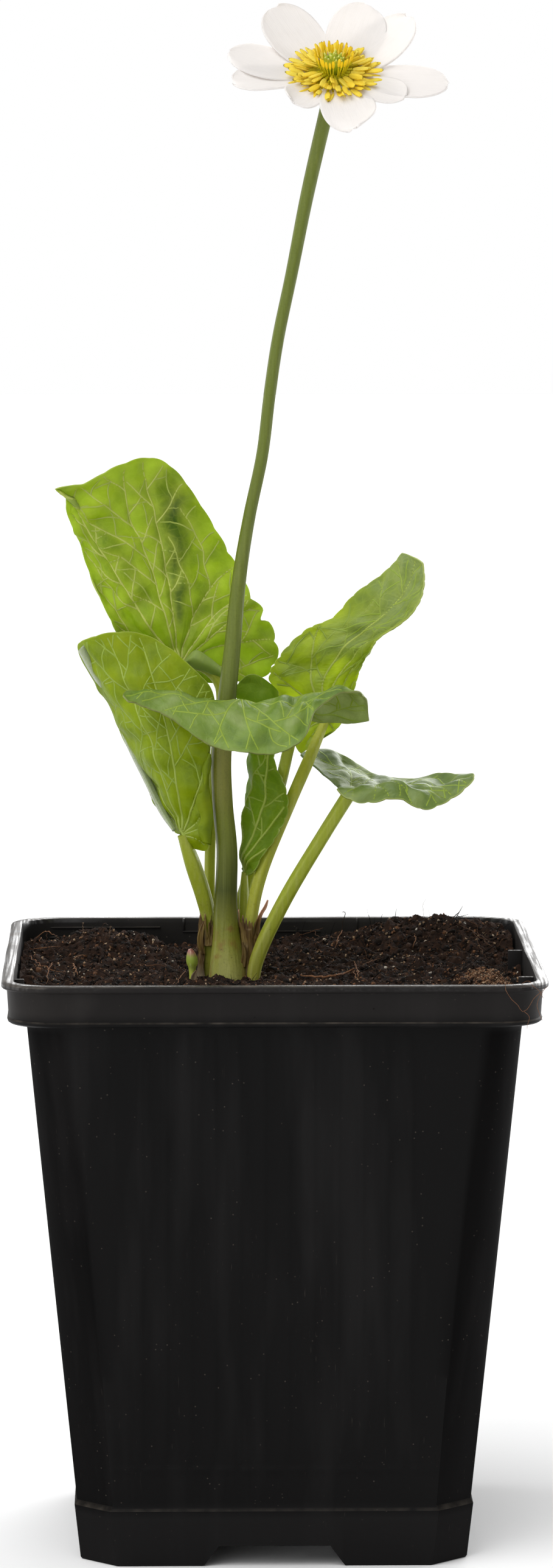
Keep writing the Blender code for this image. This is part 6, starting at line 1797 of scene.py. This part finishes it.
def make_stamens():
    """Filaments as skins along paths, and an anther on the end of each."""
    draw = np.random.default_rng(4)
    axis = flower_points(0.0, 0.0, 1.0) - FLOWER_CENTRE
    filaments, spots = [], []
    for count, far, rise in OUTER_LAYERS:
        for i in range(count):
            turn = 2 * math.pi * (i + draw.uniform(-0.3, 0.3)) / count
            reach = far + draw.uniform(-0.5, 0.4)
            top = rise + 0.35 * math.sin(turn) + draw.uniform(-0.2, 0.3)
            radial = np.array([0.3, 0.6, 1.0]) * (reach - ANTHER_LONG * 0.85)
            path = flower_turn(radial, turn, np.array([0.75, top * 0.8, top]))
            filaments.append(strand(path, OUTER_RADII, FILAMENT_STEPS))
            lean = draw.uniform(-0.25, 0.25)
            way = flower_turn(1.0, turn + lean, draw.uniform(-0.1, 0.4)) - FLOWER_CENTRE
            face = axis + 0.5 * draw.normal(size=3)
            size = ANTHER_LONG * draw.uniform(0.85, 1.1)
            spots.append((path[-1], way, face, (size, size, size), draw.uniform(0.8, 1.0)))
    for i in range(INNER_COUNT):
        turn = 2 * math.pi * (i + draw.uniform(-0.3, 0.3)) / INNER_COUNT
        tall = draw.uniform(2.6, 3.5)
        radial = np.array([1.9, 2.3, 2.55 + draw.uniform(-0.1, 0.5)])
        path = flower_turn(radial, turn, np.array([0.8, 1.8, tall]))
        filaments.append(strand(path, INNER_RADII, FILAMENT_STEPS))
        way = flower_turn(0.25, turn, 1.0) - FLOWER_CENTRE
        face = flower_turn(1.0, turn, 0.2) - FLOWER_CENTRE
        size = ANTHER_LONG * draw.uniform(0.55, 0.7)
        spots.append((path[-1], way, face, (size * 0.8, size, size), draw.uniform(0.7, 0.8)))
    tones = [FILAMENT_TONE] * len(filaments)
    thin = skin_paths("filaments", filaments, FILAMENT_SIDES, stamen_paint, tone=tones)
    return [thin, copies_of(anther(), stamen_paint, spots)]


stamens = piece("yellow_stamens", *make_stamens())
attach(stamens, "root")
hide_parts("stamens")

# Pods: a tuft of small green carpels in the middle of the bloom, each with a pale bent beak. They
# stand in rings of so many at such a reach.
POD_RINGS = [(1, 0.0), (5, 0.6), (9, 1.25)]
POD_LOW = 0.9
POD_HIGH = 4.4
POD_LEAN = np.array([0.75, 1.0, 1.02, 1.12, 1.32])
POD_RADII = [0.3, 0.44, 0.42, 0.27, 0.12]
POD_STEPS = 18
POD_SIDES = 10

pod_paint, bench = new_paint("carpel")
line = bench.noise(bench.place(), 0.3, 2.0)
colour = bench.ramp(bench.attribute("along"), (0.0, (140, 150, 10)), (0.6, (158, 176, 20)),
                    (0.86, (180, 190, 50)), (0.95, (206, 212, 90)), (1.0, (216, 218, 120)))
colour = bench.coats(colour, (past(line, 0.5, 4) * 0.3, (120, 132, 30)))
finish_paint(bench, colour, 0.42, height=line, depth=0.08)
pods = []
draw = np.random.default_rng(12)
for count, out in POD_RINGS:
    for i in range(count):
        turn = 2 * math.pi * (i + draw.uniform(-0.2, 0.2)) / count
        tall = POD_HIGH - 0.35 * out + draw.uniform(-0.35, 0.25)
        ups = np.array([POD_LOW, 2.2, 3.4, tall - 0.6, tall])
        pods.append(strand(flower_turn(out * POD_LEAN, turn, ups), POD_RADII, POD_STEPS))
carpels = piece("green_pods", skin_paths("pods", pods, POD_SIDES, pod_paint, ribs=2, depth=0.12))
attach(carpels, "root")
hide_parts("carpels")

# Studio: a plain pale floor, soft light from all round, and the camera at the photograph's angle.
FLOOR_HALF = 4000
FLOOR_WHITE = (0.93, 0.93, 0.93, 1.0)
WHITE = (1.0, 1.0, 1.0, 1.0)
SKY_POWER = 0.36
SKY_SEEN = 1.0
TARGET = (0.9, 0.0, 127.3)
EYE = (-18.6, -1098, 246)
# Far wide lights: name, place, spread in degrees, power.
SUNS = [("overhead", (-500, -400, 1500), 60, 1.75), ("front", (-700, -1100, 700), 50, 0.95),
        ("behind", (400, 1000, 560), 50, 2.3), ("left", (-1200, 300, 500), 40, 0.6),
        ("rim", (1000, 700, 260), 10, 1.3)]

floor_paint, bench = new_paint("studio_floor")
finish_paint(bench, FLOOR_WHITE, 0.95, shine=0.05)
corners = [(-FLOOR_HALF, -FLOOR_HALF, 0), (FLOOR_HALF, -FLOOR_HALF, 0), (FLOOR_HALF, FLOOR_HALF, 0),
           (-FLOOR_HALF, FLOOR_HALF, 0)]
floor = stand_in("studio_floor", mesh_of("studio_floor", corners, [(0, 1, 2, 3)], floor_paint))

world = bpy.data.worlds.new("studio")
world.use_nodes = True
world.node_tree.nodes.clear()
bench = Bench(world.node_tree)
seen = bench.add("ShaderNodeLightPath", {}, "Is Camera Ray")
gloss = bench.add("ShaderNodeLightPath", {}, "Is Glossy Ray")
seen = maths("MAXIMUM", seen, gloss * 0.5)
soft = bench.add("ShaderNodeBackground", {"Color": WHITE, "Strength": SKY_POWER})
white = bench.add("ShaderNodeBackground", {"Color": WHITE, "Strength": SKY_SEEN})
sky = bench.add("ShaderNodeMixShader", {0: seen, 1: soft, 2: white})
node = world.node_tree.nodes.new("ShaderNodeOutputWorld")
world.node_tree.links.new(sky.socket, node.inputs["Surface"])
bpy.context.scene.world = world
bpy.context.scene.view_settings.view_transform = "Standard"


def look_at(obj, place, target):
    """Puts an object at a place and turns it to face a target."""
    way = np.array(target, float) - np.array(place, float)
    side = np.cross(way, (0.0, 0.0, 1.0))
    side /= np.linalg.norm(side)
    back = -way / np.linalg.norm(way)
    turn = Matrix(np.column_stack([side, np.cross(back, side), back]).tolist())
    obj.matrix_world = Matrix.Translation([c * MM for c in place]) @ turn.to_4x4()


for name, place, spread, power in SUNS:
    light = bpy.data.lights.new(name, "SUN")
    light.angle = math.radians(spread)
    light.energy = power
    look_at(stand_in(name, light), place, TARGET)

camera = bpy.data.cameras.new("camera")
camera.lens = 150
camera.sensor_width = 36
camera.clip_start = 0.05
camera.clip_end = 50
eye = stand_in("camera", camera)
look_at(eye, EYE, TARGET)
bpy.context.scene.camera = eye

bpy.context.view_layer.update()
